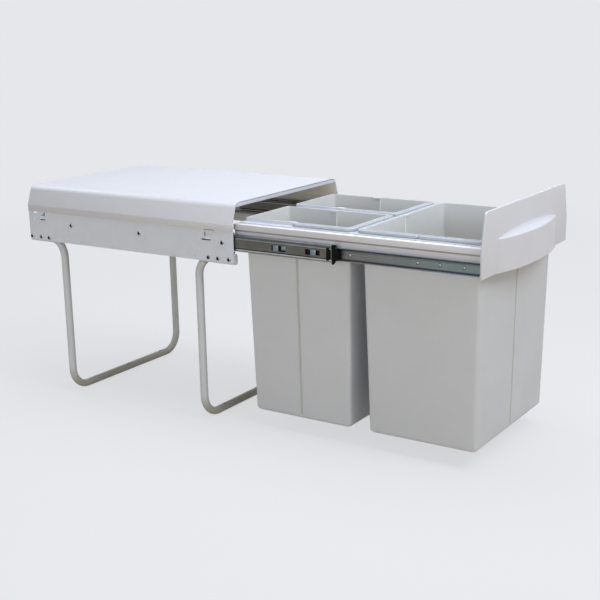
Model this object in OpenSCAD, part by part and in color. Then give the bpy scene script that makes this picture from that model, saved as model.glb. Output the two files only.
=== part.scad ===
// Pull-out waste bin frame for a kitchen base cabinet, drawn with the drawer pulled out.
// The fixed frame is a sheet cover on two side plates and two U-shaped tube legs. A carriage
// runs out of it on ball-bearing slides and carries one large and two small bins by their rims.
// +X points out of the cabinet, +Z is up. The origin lies on the cabinet floor, midway between
// the four outer floor screws of the legs.

/* [Cover and side plates] */
// Depth of the cover and the side plates, front to back
plate_depth = 478; // [460:1:520]
// Width over the cover's skirts
frame_w = 342; // [330:1:380]
// Height of the cover's top above the slides' middle line
cover_top_h = 67.5; // [62:0.5:90]
// Height above that line where the cover's leaning sides turn vertical
cover_kink_h = 31.5; // [27:0.5:36]
// Height above that line of the lower edge of the cover's skirts
skirt_h = 19.5; // [18.5:0.5:24]
// How far the cover's sides lean in up to the top
cover_lean = 12.7; // [8:0.1:15]
// Bend radius of the cover's upper edges, outside
cover_corner_r = 14; // [6:0.5:18]
// Sheet thickness of the cover
cover_t = 1.2; // [0.8:0.1:1.5]
// Height of the lip folded down along the cover's front edge
cover_lip_h = 7; // [4:0.5:10]
// How far the side plates reach below the slides' middle line
plate_drop = 34.5; // [30:0.5:40]
// Sheet thickness of the side plates
plate_t = 1.2; // [0.8:0.1:2]
// Radius of the side plates' lower corners
plate_corner_r = 4; // [2:0.5:8]
// Rear hook window in the side plates: length and height
hook_size = [30, 15]; // [10:0.5:40]
// Distance of the rear hook window from the rear end
hook_x = 11.5; // [8:0.5:16]
// Width of the slits punched around the hooks
slit_w = 2.2; // [1.2:0.1:2.4]
// How far the tongues pressed out above the hook slits stand proud
tongue_out = 1.4; // [0.8:0.1:2]
// Cover's front hook: length at its root, length at its tip, height
front_hook = [22, 12, 9]; // [4:0.5:30]
// Distance of the front hook from the front end, to its middle
front_hook_x = 49; // [45:0.5:55]

/* [Legs] */
// Outside diameter of the leg tube
tube_d = 14; // [12:0.5:16]
// Wall of the leg tube
tube_wall = 1.5; // [1:0.1:2]
// Distance between the two legs
leg_spacing = 320; // [300:1:330]
// Distance from the plates' rear end to the rear leg
rear_overhang = 73; // [70:1:80]
// Distance from the side plates' inner face to the leg tube's middle
leg_inset = 12; // [11:0.5:13]
// Bend radius of the tube at the floor
floor_bend_r = 38; // [28:1:45]
// Bend radius of the tube under the side plates
top_bend_r = 38; // [32:1:45]
// Angle at which the upper bend runs into the flattened end
top_bend_a = 50; // [45:1:60]
// Flattened tube end: thickness and height
stub_size = [10, 18]; // [8:0.5:18]
// Distance from the leg tube to the flattened end
stub_start = 18; // [16:0.5:22]
// Distance from the slides' middle line down to the middle of the flattened ends
stub_drop = 28; // [27.5:0.5:30]
// Diameter of the floor screw holes
floor_hole_d = 5; // [4:0.1:6]
// Distance from the middle floor screw to the outer ones
floor_hole_pitch = 100; // [80:1:105]
// Diameter of the rivet and screw shanks
shank_d = 4; // [3:0.1:5]
// Head of the rivets and of the slide screws: diameter and height
head_size = [8, 1.8]; // [1:0.1:10]
// Rivets at the rear legs, from the plates' rear end
rear_rivets = [5, 29, 49]; // [4:0.5:60]
// Rivets at the front legs, from the plates' front end
front_rivets = [10, 33, 53]; // [4:0.5:60]

/* [Slides] */
// Length of the outer and inner members
slide_len = 450; // [440:1:470]
// Distance from the plates' rear end to the outer member
slide_rear = 25; // [22:1:28]
// How much shorter the middle member is
middle_short = 13.5; // [12:0.5:24]
// Height of the slides' middle line above the floor
slide_z = 330.5; // [320:0.5:360]
// Half the height of the outer member
slide_half_h = 18.15; // [18:0.05:18.5]
// Thickness of the whole slide
slide_w = 12.7; // [12.6:0.1:13.2]
// Sheet thickness of the members
rail_t = 1.2; // [1.1:0.05:1.25]
// Radius of the balls
ball_r = 1.75; // [1.7:0.01:1.8]
// Running gap between balls and raceways
race_gap = 0.3; // [0.25:0.01:0.35]
// Depth of the outer ball rows in the slide
ball_u = 5.2; // [5.15:0.05:5.3]
// Sideways step from the outer to the inner ball rows
ball_step = 3.8; // [3.75:0.05:3.85]
// Gap between the webs of the outer and the middle member
web_gap = 1.4; // [1.3:0.05:1.45]
// Half the height of the middle member's raised web
web_half_h = 7.5; // [6.5:0.1:8]
// How far the middle member's web stands proud of its edges
web_joggle = 0.8; // [0.7:0.05:0.85]
// Strip thickness of the ball cages
cage_t = 0.6; // [0.4:0.05:0.65]
// Length of the outer and the inner ball cages
cage_len = [180, 150]; // [120:1:185]
// Distance of the cages behind the members' front ends, drawer shut: outer, inner
cage_front = [116, 159]; // [110:1:165]
// Balls in each row of the outer and the inner cages
ball_count = [14, 12]; // [8:1:14]
// Slide screws, from the plates' rear end
slide_screws_x = [108, 272, 455]; // [60:1:460]
// Screws of the inner members, from the members' front end
rail_screws_x = [26, 66, 104, 223]; // [20:1:300]
// Height and length of the black end stops on the middle members
stop_size = [32.4, 15]; // [12:0.1:33]
// Windows in the middle members' webs: distance from the front end, length, height, height of their middle
web_windows = [
    [129.5, 3, 9, 0], [114.5, 6, 9.6, 0], [107.5, 8, 2.6, -3.5], [60.5, 10, 9.4, 0], [41.5, 7.4, 8.4, 0]
]; // [-4:0.1:140]

/* [Carriage] */
// Travel of the drawer
travel = 445; // [430:1:450]
// Gap between the shut front panel and the frame
panel_gap = 3; // [1:0.1:4]
// Height of the flange that the bin rims rest on above the slides' middle line
carriage_h = 32.5; // [31.5:0.5:34.5]
// Sheet thickness of the side profiles and crossbars
profile_t = 1.2; // [1:0.1:1.5]
// How far the side profiles' upper band stands out over the slides
profile_step = 4; // [2:0.1:5]
// Height of the upper band
profile_band_h = 10; // [8:0.5:11]
// Width of the flange under the bin rims
profile_flange = 13; // [11:0.5:14]
// How far the side profiles reach below the slides' middle line
profile_drop = 12; // [10:0.5:14]
// Height of the crossbars
crossbar_h = 20; // [14:1:24]
// Gap between a crossbar and the bin walls beside it
crossbar_gap = 1.5; // [1:0.1:2.4]

/* [Bins] */
// Height of the bins' undersides above the floor
bin_z = 30; // [20:1:40]
// Length of the walls at the rim, front to back
bin_len = 204.5; // [200:0.5:206]
// How far the rims rest on the side profiles' flanges
rim_seat = 5.1; // [4:0.1:7]
// How much the walls draw in on each side down to the bottom
bin_taper = 6.8; // [3:0.1:10]
// Wall thickness
bin_wall = 2; // [1.6:0.1:2.4]
// Radius of the upright edges
bin_corner_r = 6; // [5:0.5:12]
// Rounding of the bottom edge
bin_foot = 5; // [4:0.5:9]
// Width and thickness of the rim flange
rim_size = [10, 2.5]; // [2:0.1:12]
// Width of the rim flange at the rear of the small bins
rear_rim_w = 4; // [3:0.1:5]
// Height of the lip above the carriage flange
lip_h = 8.5; // [8:0.1:10]
// Gap between neighbouring rims
rim_gap = 2.4; // [1.5:0.1:4]
// Radius of the upright bead pressed into the widest walls
bead_r = 2; // [1:0.1:2.2]

/* [Bails] */
// Section of the bail strips: width and height
bail_size = [7, 5]; // [4:0.1:8]
// Gap between a bail and the bin's lip
bail_gap = 1.2; // [0.6:0.1:1.5]
// Height of a folded bail above the rim flange
bail_rest = 0.3; // [0.2:0.05:0.5]
// Diameter of the pivot pegs
peg_d = 3; // [2.6:0.1:3.2]
// Distance from the large bin's middle to each of its bail pivots
pivot_offset = 3.2; // [3:0.1:6]

/* [Front panel] */
// Thickness of the panel
panel_t = 4; // [3.5:0.1:5]
// How far the panel reaches below the slides' middle line
panel_drop = 12.5; // [9:0.5:18]
// Height of the panel
panel_h = 100; // [90:1:110]
// How far the panel stands out past the cover's skirts on each side
panel_over = 1; // [0:0.1:3]
// How far the panel's sides lean in above the cover's kink, up to its top
panel_lean = 12; // [8:0.5:16]
// Radius of the panel's upper corners
panel_corner_r = 8; // [4:0.5:12]
// Width of the bowed handle, which runs out flush with the panel at both ends
bow_w = 232; // [200:2:240]
// Depth of the bow in the middle, at its lower edge
bow_depth = 18.5; // [16:0.5:24]
// How far the bow's front leans back up to its upper edge
bow_draft = 3; // [0:0.5:4]
// Height of the bow's front edge above the panel's lower edge
bow_h = 52; // [46:1:56]
// How far the bow's top rises back to the panel
bow_rise = 11; // [6:0.5:14]
// Wall of the bow
bow_wall = 3; // [2.5:0.1:3]
// Panel screws, to each side of the middle
panel_screws_y = [60, 125]; // [30:1:135]
// Panel screws below the carriage flange
panel_screw_drop = 11; // [8:0.5:13]

/* [Hidden] */
$fn = 48;
LEFT = -1;
RIGHT = 1;
far = 1000;
fit_gap = 0.06;
shank_gap = 0.1;
thin = 0.01;

// Fixed frame
rear_x = -rear_overhang - leg_spacing / 2;
front_x = rear_x + plate_depth;
plate_out = frame_w / 2 - cover_t;
plate_in = plate_out - plate_t;
cover_top_z = slide_z + cover_top_h;
cover_kink_z = slide_z + cover_kink_h;
skirt_z = slide_z + skirt_h;
plate_z = slide_z - plate_drop;
plate_top = cover_kink_z - cover_t;
tube_r = tube_d / 2;
leg_y = plate_in - leg_inset;
stub_z = slide_z - stub_drop;
leg_lap_a = 4;
shank_r = shank_d / 2;
hook_top = skirt_z - 0.3;
hook_low = hook_top - hook_size.y;
slot_x = front_x - front_hook_x - front_hook[0] / 2 - slit_w * 3;
slot_z = skirt_z - front_hook[2] * 2;

// Slide section: u runs from the side plate inwards, v up from the slide's middle line
race_r = ball_r + race_gap;
bend_r = race_r + rail_t;
ball1 = [ball_u, slide_half_h - bend_r];
ball2 = ball1 + [ball_step, -sqrt(pow(race_r + bend_r, 2) - pow(ball_step, 2))];
curl = atan2(ball1.y - ball2.y, ball_step);
web_u = rail_t + web_gap;
edge_u = web_u + web_joggle;
seat_v = ball1.y - bend_r;
tray_v = ball2.y - bend_r;
outer_lip_a = 10;
inner_lip_a = 205;
cage1_u = rail_t + (web_gap - cage_t) / 2;
cage2_u = (edge_u + rail_t + ball2.x - bend_r - cage_t) / 2;
cage2_v = (seat_v + ball2.y + race_r * sin(inner_lip_a)) / 2;

// Slide lengths along X, drawer out
outer_x = rear_x + slide_rear;
middle_len = slide_len - middle_short;
middle_x = outer_x + travel / 2;
middle_end = middle_x + middle_len;
inner_x = outer_x + travel;
inner_end = inner_x + slide_len;
cage1_end = outer_x + slide_len - cage_front[0] + travel / 4;
cage2_end = outer_x + slide_len - cage_front[1] + travel * 3 / 4;

// Carriage and bins along X, drawer out
panel_x = front_x + panel_gap + travel;
panel_z = slide_z - panel_drop;
carriage_z = slide_z + carriage_h;
profile_y = plate_in - slide_w;
profile_in = profile_y - profile_t;
flange_y = profile_y + profile_step - profile_flange;
band_z = carriage_z - profile_band_h;
crossbar_low = carriage_z - crossbar_h;
large_rim_x1 = panel_x - 1;
large_wall_x1 = large_rim_x1 - rim_size.x;
large_x = large_wall_x1 - bin_len / 2;
large_wall_x0 = large_wall_x1 - bin_len;
small_wall_x1 = large_wall_x0 - 2 * rim_size.x - rim_gap;
small_x = small_wall_x1 - bin_len / 2;
small_wall_x0 = small_wall_x1 - bin_len;
profile_x0 = small_wall_x0 - rim_size.x - profile_t;
bin_w = 2 * (flange_y + rim_seat - rim_size.x);
small_w = (bin_w + 2 * rim_size.x - rim_gap) / 2 - 2 * rim_size.x;
small_y = (small_w + rim_gap) / 2 + rim_size.x;
rim_top = carriage_z + rim_size.y;
lip_top = carriage_z + lip_h;
bin_h = carriage_z - bin_z;
taper_a = atan(bin_taper / bin_h);
peg_r = peg_d / 2;
pivot_z = rim_top + bail_rest + bail_size.y / 2;

// Front panel bow: an arc through its middle and its two ends on the panel's face
bow_r = (pow(bow_w / 2, 2) + pow(bow_depth, 2)) / (2 * bow_depth);
bow_x = panel_x + panel_t + bow_depth - bow_r;

// Geometry helpers

function unit(v) = v / norm(v);
function left_of(d) = [-d.y, d.x];
function turn(a) = a > 180 ? a - 360 : a < -180 ? a + 360 : a;

// Points of the arc of radius r that rounds corner b of the path a, b, c
function corner(a, b, c, r, steps = 8) =
    let (
        u = unit(a - b),
        v = unit(c - b),
        half = acos(u * v) / 2,
        middle = b + unit(u + v) * r / sin(half),
        start = b + u * r / tan(half) - middle,
        end = b + v * r / tan(half) - middle,
        a0 = atan2(start.y, start.x),
        sweep = turn(atan2(end.y, end.x) - a0)
    )
    [for (i = [0 : steps]) middle + r * [cos(a0 + sweep * i / steps), sin(a0 + sweep * i / steps)]];

// Outline of a bent sheet: the path is one face, and thickness t goes to its left
function bent_sheet(path, t) =
    let (
        n = len(path),
        side = [for (i = [0 : n - 2]) left_of(unit(path[i + 1] - path[i]))],
        shift = [for (i = [0 : n - 1])
            let (p = side[max(i - 1, 0)], q = side[min(i, n - 2)]) (p + q) * t / (1 + p * q)]
    )
    concat(path, [for (i = [n - 1 : -1 : 0]) path[i] + shift[i]]);

// Carries a shape drawn for the left side to the named side
module on_side(side) {
    if (side == RIGHT) mirror([0, 1, 0]) children();
    else children();
}

// Extrudes a Y-Z section along +X
module along_x(x, length) {
    translate([x, 0, 0]) rotate([90, 0, 90]) linear_extrude(length) children();
}

// Extrudes an X-Z section along +Y
module along_y(y, length) {
    translate([0, y + length, 0]) rotate([90, 0, 0]) linear_extrude(length) children();
}

// Round bar or bore along Y
module rod_y(p, r, length) {
    translate(p) rotate([-90, 0, 0]) cylinder(r = r, h = length);
}

// Round bar or bore along X
module rod_x(p, r, length) {
    translate(p) rotate([0, 90, 0]) cylinder(r = r, h = length);
}

// Rectangle from low to high with rounded corners
module rounded_rect(low, high, r) {
    translate(low + [r, 0]) square([high.x - low.x - 2 * r, high.y - low.y]);
    translate(low + [0, r]) square([high.x - low.x, high.y - low.y - 2 * r]);
    for (x = [low.x + r, high.x - r], y = [low.y + r, high.y - r]) translate([x, y]) circle(r);
}

// Part of a ring between two angles less than 180 degrees apart
module ring_part(middle, r0, r1, a0, a1) {
    reach = 3 * r1;
    half = (a0 + a1) / 2;
    translate(middle) intersection() {
        difference() {
            circle(r1);
            circle(r0);
        }
        polygon([[0, 0], for (a = [a0, half, a1]) reach * [cos(a), sin(a)]]);
    }
}

// Hollow head with a rolled rim and a shank, on the outer face of the left side plate, pointing inwards
module plate_fastener(x, z, grip) {
    head_r = head_size.x / 2;
    translate([x, -plate_out, z]) rotate([-90, 0, 0]) rotate_extrude() {
        polygon(concat(
            [[0, 0], [shank_r * 0.7, 0]],
            [for (a = [50 : -10 : 0]) [head_r * cos(a), -head_size.y * sin(a) / sin(50)]],
            [[shank_r, 0], [shank_r, grip], [0, grip]]
        ));
    }
}

// Cover and side plates

function cover_half() =
    let (
        w = frame_w / 2,
        kink = [-w, cover_kink_z],
        peak = [-w + cover_lean, cover_top_z],
        crown = [0, cover_top_z]
    )
    concat([[-w, skirt_z], kink], corner(kink, peak, crown, cover_corner_r));

function mirrored(half) = concat(half, [for (i = [len(half) - 1 : -1 : 0]) [-half[i].x, half[i].y]]);

module front_hook_tab() {
    x = front_x - front_hook_x;
    along_y(-frame_w / 2, cover_t) polygon([
        [x - front_hook[0] / 2, skirt_z + cover_t], [x - front_hook[1] / 2, skirt_z - front_hook[2]],
        [x + front_hook[1] / 2, skirt_z - front_hook[2]], [x + front_hook[0] / 2, skirt_z + cover_t]
    ]);
}

module top_cover() {
    outline = mirrored(cover_half());
    color("whitesmoke") {
        along_x(rear_x, plate_depth) polygon(bent_sheet(outline, -cover_t));
        along_x(front_x - cover_t, cover_t) intersection() {
            polygon(outline);
            translate([-frame_w / 2, cover_top_z - cover_lip_h]) square([frame_w, cover_lip_h]);
        }
        for (side = [LEFT, RIGHT]) on_side(side) front_hook_tab();
    }
}

module hook_window() {
    x = rear_x + hook_x;
    end = x + hook_size.x;
    bar_h = hook_size.y * 0.42;
    translate([x, hook_top - slit_w]) square([hook_size.x * 0.37, slit_w]);
    translate([x, hook_top - slit_w * 2]) square([slit_w, slit_w * 2]);
    translate([end - slit_w * 1.4, hook_top - bar_h]) square([slit_w * 1.4, bar_h]);
    translate([end - slit_w * 4, hook_top - bar_h]) square([slit_w * 4, slit_w / 2]);
    translate([x, hook_low]) square([slit_w * 1.5, slit_w]);
    translate([end - hook_size.x * 0.42, hook_low]) square([hook_size.x * 0.42, slit_w]);
}

module hook_slot() {
    translate([slot_x, slot_z]) square([front_hook[0] * 0.9, slit_w]);
    translate([slot_x + slit_w * 3, skirt_z - front_hook[2] - slit_w]) square([slit_w, front_hook[2]]);
}

// Tongue pressed out of the left side plate, leaning out from z1 down to z0
module tongue(x, length, z0, z1) {
    lap = plate_t / 4;
    along_x(x, length) polygon([
        [lap - plate_out, z1], [-plate_out, z1], [-plate_out - tongue_out, z0], [lap - plate_out, z0]
    ]);
}

module plate_tongues() {
    rear_l = hook_size.x * 0.42;
    front_l = front_hook[0] * 0.45;
    tongue_h = slit_w * 2;
    rear_z = hook_low + slit_w;
    front_z = slot_z + slit_w;
    tongue(rear_x + hook_x + hook_size.x - rear_l, rear_l, rear_z, rear_z + tongue_h);
    tongue(slot_x + front_l, front_l, front_z, front_z + tongue_h);
}

module side_plate(side) {
    holes = concat(
        [for (x = rear_rivets) [rear_x + x, stub_z]],
        [for (x = front_rivets) [front_x - x, stub_z]],
        [for (x = slide_screws_x) [rear_x + x, slide_z]]
    );
    color("whitesmoke") on_side(side) difference() {
        union() {
            along_y(-plate_out, plate_t) difference() {
                union() {
                    rounded_rect([rear_x, plate_z], [front_x, plate_top], plate_corner_r);
                    translate([rear_x, plate_top - plate_corner_r]) square([plate_depth, plate_corner_r]);
                }
                hook_window();
                hook_slot();
            }
            plate_tongues();
        }
        for (p = holes) rod_y([p.x, -plate_out - 1, p.y], shank_r + shank_gap, plate_t + 2);
    }
}

// Legs

// Solid of the bent tube at radius r, on the left half of a leg whose ends point to -X
module leg_run(r) {
    low = tube_r + floor_bend_r;
    high = stub_z - top_bend_r;
    bar_y = leg_y - floor_bend_r;
    rod_y([0, -bar_y, tube_r], r, bar_y);
    translate([0, -bar_y, low]) rotate([90, 0, 90]) rotate([0, 0, 180]) rotate_extrude(angle = 90)
        translate([floor_bend_r, 0]) circle(r);
    translate([0, -leg_y, low]) cylinder(r = r, h = high - low);
    translate([-top_bend_r, -leg_y, high]) rotate([90, 0, 0]) rotate_extrude(angle = top_bend_a)
        translate([top_bend_r, 0]) circle(r);
}

// Flattened end that the rivets hold against the left side plate; it starts inside the bend
module leg_end(length) {
    a = top_bend_a - leg_lap_a;
    x = -top_bend_r * (1 - cos(a));
    z = stub_z - top_bend_r * (1 - sin(a));
    low = [-plate_in, stub_z - stub_size.y / 2];
    high = [-plate_in + stub_size.x, stub_z + stub_size.y / 2];
    round_r = stub_size.x * 0.3;
    hull() {
        translate([x, -leg_y, z]) rotate([0, -a, 0]) cylinder(r = tube_r - tube_wall / 4, h = thin, $fn = 32);
        along_x(-stub_start - thin, thin) rounded_rect(low, high, round_r, $fn = 32);
    }
    along_x(-length, length - stub_start) rounded_rect(low, high, round_r);
}

module leg(length, rivets) {
    color("lightgray") difference() {
        union() {
            difference() {
                for (side = [LEFT, RIGHT]) on_side(side) leg_run(tube_r);
                for (side = [LEFT, RIGHT]) on_side(side) leg_run(tube_r - tube_wall);
            }
            for (side = [LEFT, RIGHT]) on_side(side) leg_end(length);
        }
        for (i = [-1 : 1]) translate([0, i * floor_hole_pitch, -1])
            cylinder(r = floor_hole_d / 2, h = tube_d + 2);
        for (x = rivets, side = [LEFT, RIGHT]) on_side(side)
            rod_y([x - length, -plate_in - 1, stub_z], shank_r + shank_gap, stub_size.x + 2);
    }
}

module rear_leg() translate([-leg_spacing / 2, 0, 0]) leg(rear_overhang, rear_rivets);

module front_leg() {
    reach = plate_depth - rear_overhang - leg_spacing;
    translate([leg_spacing / 2, 0, 0]) mirror([1, 0, 0]) leg(reach, front_rivets);
}

module leg_rivets() {
    tail = 1;
    grip = plate_t + stub_size.x;
    rows = concat([for (x = rear_rivets) rear_x + x], [for (x = front_rivets) front_x - x]);
    color("silver") for (x = rows, side = [LEFT, RIGHT]) on_side(side) {
        plate_fastener(x, stub_z, grip);
        rod_y([x, -plate_out + grip, stub_z], shank_r + tail, tail);
    }
}

module slide_screws() {
    color("silver") for (x = slide_screws_x, side = [LEFT, RIGHT]) on_side(side)
        plate_fastener(rear_x + x, slide_z, plate_t + rail_t);
}

// Slides

// Places a slide section, drawn in u and v, on the left side plate
module in_slide() {
    translate([-plate_in, slide_z]) children();
}

// Repeats the upper half of a slide section below the middle line
module both_edges() {
    children();
    mirror([0, 1]) children();
}

module outer_section() {
    translate([0, -slide_half_h]) square([rail_t, 2 * slide_half_h]);
    both_edges() {
        translate([0, slide_half_h - rail_t]) square([ball1.x, rail_t]);
        ring_part(ball1, race_r, bend_r, outer_lip_a, 90);
    }
}

module middle_section() {
    lap = rail_t;
    translate([web_u, -web_half_h]) square([rail_t, 2 * web_half_h]);
    both_edges() {
        translate([web_u, web_half_h - lap / 2]) square([rail_t + web_joggle, lap]);
        translate([edge_u, web_half_h - lap / 2]) square([rail_t, seat_v + rail_t - web_half_h + lap / 2]);
        translate([edge_u, seat_v]) square([ball1.x - edge_u, rail_t]);
        ring_part(ball1, race_r, bend_r, -90, -curl);
        ring_part(ball2, race_r, bend_r, outer_lip_a, 180 - curl);
    }
}

module inner_section() {
    translate([slide_w - rail_t, -tray_v - rail_t]) square([rail_t, 2 * (tray_v + rail_t)]);
    both_edges() {
        translate([ball2.x, tray_v]) square([slide_w - ball2.x, rail_t]);
        ring_part(ball2, race_r, bend_r, inner_lip_a, 270);
    }
}

// Strip bent to a channel of depth w around the ball rows at height v
module cage_section(u, v, w) {
    edge = v + cage_t / 2;
    polygon(bent_sheet([[u + w, -edge], [u, -edge], [u, edge], [u + w, edge]], -cage_t));
}

function ball_x(end, i, length, count) = end - length + length * (i + 0.5) / count;

module outer_rail(side) {
    color("darkgray") on_side(side) difference() {
        along_x(outer_x, slide_len) in_slide() outer_section();
        for (x = slide_screws_x)
            rod_y([rear_x + x, -plate_in - 1, slide_z], shank_r + shank_gap, rail_t + 2);
    }
}

module middle_rail(side) {
    pad = stop_pad();
    color("darkgray") on_side(side) difference() {
        along_x(middle_x, middle_len) in_slide() middle_section();
        for (w = concat(web_windows, [pad]))
            translate([middle_end - w[0] - w[1] / 2, -plate_in + web_u - 1, slide_z + w[3] - w[2] / 2])
                cube([w[1], rail_t + 2, w[2]]);
        translate([middle_end - stop_size.y, -plate_in + web_u - 1, slide_z - far / 2])
            cube([stop_size.y + 1, slide_w, far]);
    }
}

module inner_rail(side) {
    color("darkgray") on_side(side) difference() {
        along_x(inner_x, slide_len) in_slide() inner_section();
        for (x = rail_screws_x)
            rod_y([inner_end - x, -profile_y - rail_t - 1, slide_z], shank_r + shank_gap, rail_t + 2);
    }
}

module cage(side, u, v, row, end, length, count) {
    color("gray") on_side(side) difference() {
        along_x(end - length, length) in_slide() cage_section(u, v, row.x + ball_r - rail_t / 4 - u);
        for (i = [0 : count - 1], s = [-1, 1])
            translate([ball_x(end, i, length, count), -plate_in + row.x, slide_z + s * v - cage_t])
                cylinder(r = ball_r + race_gap / 2, h = 2 * cage_t);
    }
}

module balls(side, row, end, length, count) {
    color("lightgray") on_side(side)
        for (i = [0 : count - 1], s = [-1, 1])
            translate([ball_x(end, i, length, count), -plate_in + row.x, slide_z + s * row.y]) sphere(ball_r);
}

module outer_cage(side) cage(side, cage1_u, ball1.y, ball1, cage1_end, cage_len[0], ball_count[0]);
module inner_cage(side) cage(side, cage2_u, cage2_v, ball2, cage2_end, cage_len[1], ball_count[1]);
module outer_balls(side) balls(side, ball1, cage1_end, cage_len[0], ball_count[0]);
module inner_balls(side) balls(side, ball2, cage2_end, cage_len[1], ball_count[1]);

// Window behind the end stop that its pad fills, as in web_windows
function stop_pad() = [stop_size.y + 6.5, 8, 2 * web_half_h + web_joggle, 0];

// Black stop on the middle member's front end, cut to let the inner member run through it
module end_stop(side) {
    pad = stop_pad();
    snug = 0.3;
    nose_h = stop_size.x * 0.62;
    foot_x = middle_end - stop_size.y;
    foot_l = stop_size.y * 0.4;
    pass_u = cage2_u + cage_t / 2;
    color("dimgray") on_side(side) {
        along_x(foot_x, foot_l) in_slide() translate([cage1_u, -stop_size.x / 2])
            square([pass_u - cage1_u, stop_size.x]);
        along_x(foot_x, stop_size.y) in_slide() translate([cage1_u, -nose_h / 2])
            square([pass_u - cage1_u, nose_h]);
        along_x(foot_x - pad[1] - snug * 4, pad[1] + snug * 5) in_slide()
            translate([web_u + rail_t, -web_half_h + snug])
                square([pass_u - web_u - rail_t, 2 * (web_half_h - snug)]);
        along_x(middle_end - pad[0] - pad[1] / 2 + snug, pad[1] - 2 * snug) in_slide()
            translate([web_u - snug, -web_half_h + snug])
                square([rail_t + 2 * snug, 2 * (web_half_h - snug)]);
    }
}

module rail_screws() {
    head_r = head_size.x * 0.4;
    tail = 1.4;
    color("silver") for (x = rail_screws_x, side = [LEFT, RIGHT]) on_side(side)
        translate([inner_end - x, -profile_y - rail_t, slide_z]) rotate([-90, 0, 0]) rotate_extrude()
            polygon([
                [0, -head_size.y], [head_r * 0.7, -head_size.y], [head_r, -head_size.y * 0.4], [head_r, 0],
                [shank_r, 0], [shank_r, rail_t + profile_t], [head_r, rail_t + profile_t],
                [head_r, rail_t + profile_t + tail], [0, rail_t + profile_t + tail]
            ]);
}

// Carriage

module side_profile(side) {
    low = slide_z - profile_drop;
    out = -profile_y - profile_step;
    face = [
        [-profile_y, low], [-profile_y, band_z], [out, band_z], [out, carriage_z],
        [out + profile_flange, carriage_z]
    ];
    color("whitesmoke") on_side(side) difference() {
        along_x(profile_x0, panel_x - profile_x0) polygon(bent_sheet(face, -profile_t));
        for (x = rail_screws_x)
            rod_y([inner_end - x, -profile_y - 1, slide_z], shank_r + shank_gap, profile_t + 2);
    }
}

// Crossbar welded between the side profiles, from an X-Z path, notched at both ends for their flanges
module crossbar(path) {
    color("whitesmoke") difference() {
        along_y(-profile_in, 2 * profile_in) polygon(bent_sheet(path, profile_t));
        for (side = [LEFT, RIGHT]) on_side(side)
            translate([-far, -flange_y - far, carriage_z - profile_t]) cube([2 * far, far, far]);
    }
}

module rear_crossbar() {
    crossbar([
        [small_wall_x0 - crossbar_gap, carriage_z], [profile_x0, carriage_z], [profile_x0, crossbar_low]
    ]);
}

module middle_crossbar() {
    x0 = small_wall_x1 + crossbar_gap;
    x1 = large_wall_x0 - crossbar_gap;
    crossbar([[x1, crossbar_low], [x1, carriage_z], [x0, carriage_z], [x0, crossbar_low]]);
}

module front_crossbar() {
    difference() {
        crossbar([
            [panel_x, crossbar_low], [panel_x, carriage_z], [large_wall_x1 + crossbar_gap, carriage_z]
        ]);
        panel_screw_places() rod_x([panel_x - profile_t - 1, 0, 0], shank_r + shank_gap, profile_t + 2);
    }
}

module panel_screw_places() {
    for (y = panel_screws_y, side = [LEFT, RIGHT])
        translate([0, side * y, carriage_z - panel_screw_drop]) children();
}

module panel_screws() {
    head_r = head_size.x * 0.4;
    bite = panel_t * 0.7;
    color("silver") panel_screw_places()
        translate([panel_x - profile_t, 0, 0]) rotate([0, 90, 0]) rotate_extrude()
            polygon([
                [0, -head_size.y], [head_r * 0.7, -head_size.y], [head_r, -head_size.y * 0.4], [head_r, 0],
                [shank_r, 0], [shank_r, profile_t + bite], [0, profile_t + bite]
            ]);
}

// Front panel: a plate with leaning sides like the cover's, and a hollow bow to pull it by

module panel_outline() {
    w = frame_w / 2 + panel_over;
    low = [-w, panel_z];
    kink = [-w, cover_kink_z];
    top_z = panel_z + panel_h;
    peak = [-w + panel_lean, top_z];
    polygon(mirrored(concat(
        corner([0, panel_z], low, kink, cover_t * 2),
        [kink],
        corner(kink, peak, [0, top_z], panel_corner_r)
    )));
}

// All that lies in front of x
module in_front_of(x) {
    translate([x, -far / 2, 0]) cube(far);
}

// Bow filled up to radius r at its lower edge, with its top rising to the panel from edge_z
module bow_body(r, low, edge_z) {
    run = bow_depth + panel_t;
    slope = bow_rise / (bow_depth - bow_draft);
    translate([bow_x, 0, 0]) rotate([0, 0, -45]) rotate_extrude(angle = 90, $fn = 96) polygon([
        [r - run, low], [r, low], [r - bow_draft, edge_z], [r - run, edge_z + slope * (run - bow_draft)]
    ]);
}

module front_panel() {
    top = panel_z + bow_h;
    color("white") difference() {
        union() {
            along_x(panel_x, panel_t) panel_outline();
            intersection() {
                bow_body(bow_r, panel_z, top);
                in_front_of(panel_x + panel_t / 2);
            }
        }
        intersection() {
            bow_body(bow_r - bow_wall, panel_z - 1, top - bow_wall);
            in_front_of(panel_x + panel_t);
        }
        panel_screw_places() rod_x([panel_x - 1, 0, 0], shank_r + shank_gap, panel_t * 0.75 + 1);
    }
}

// Bins: drawn about their own middle, with the walls' size at the rim

// Slice of the bin's walls, drawn in from the rim by inset
module bin_slice(size, inset, z) {
    half = size / 2 - [inset, inset];
    translate([0, 0, z]) linear_extrude(thin) rounded_rect(-half, half, bin_corner_r, $fn = 32);
}

module bin_block(size, inset, low, high) {
    hull() {
        for (a = [0 : 22.5 : 90])
            bin_slice(size, inset + bin_taper + bin_foot * (1 - sin(a)), low + bin_foot * (1 - cos(a)));
        bin_slice(size, inset, high - thin);
    }
}

// Upright rod along a leaning wall whose outer face stands at distance d from the middle
module wall_bead(d, along_face, low, high, r) {
    length = (high - low) / cos(taper_a);
    rotate([0, 0, along_face]) translate([d, 0, high]) rotate([0, 180 + taper_a, 0])
        cylinder(r = r, h = length, $fn = 24);
}

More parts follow.
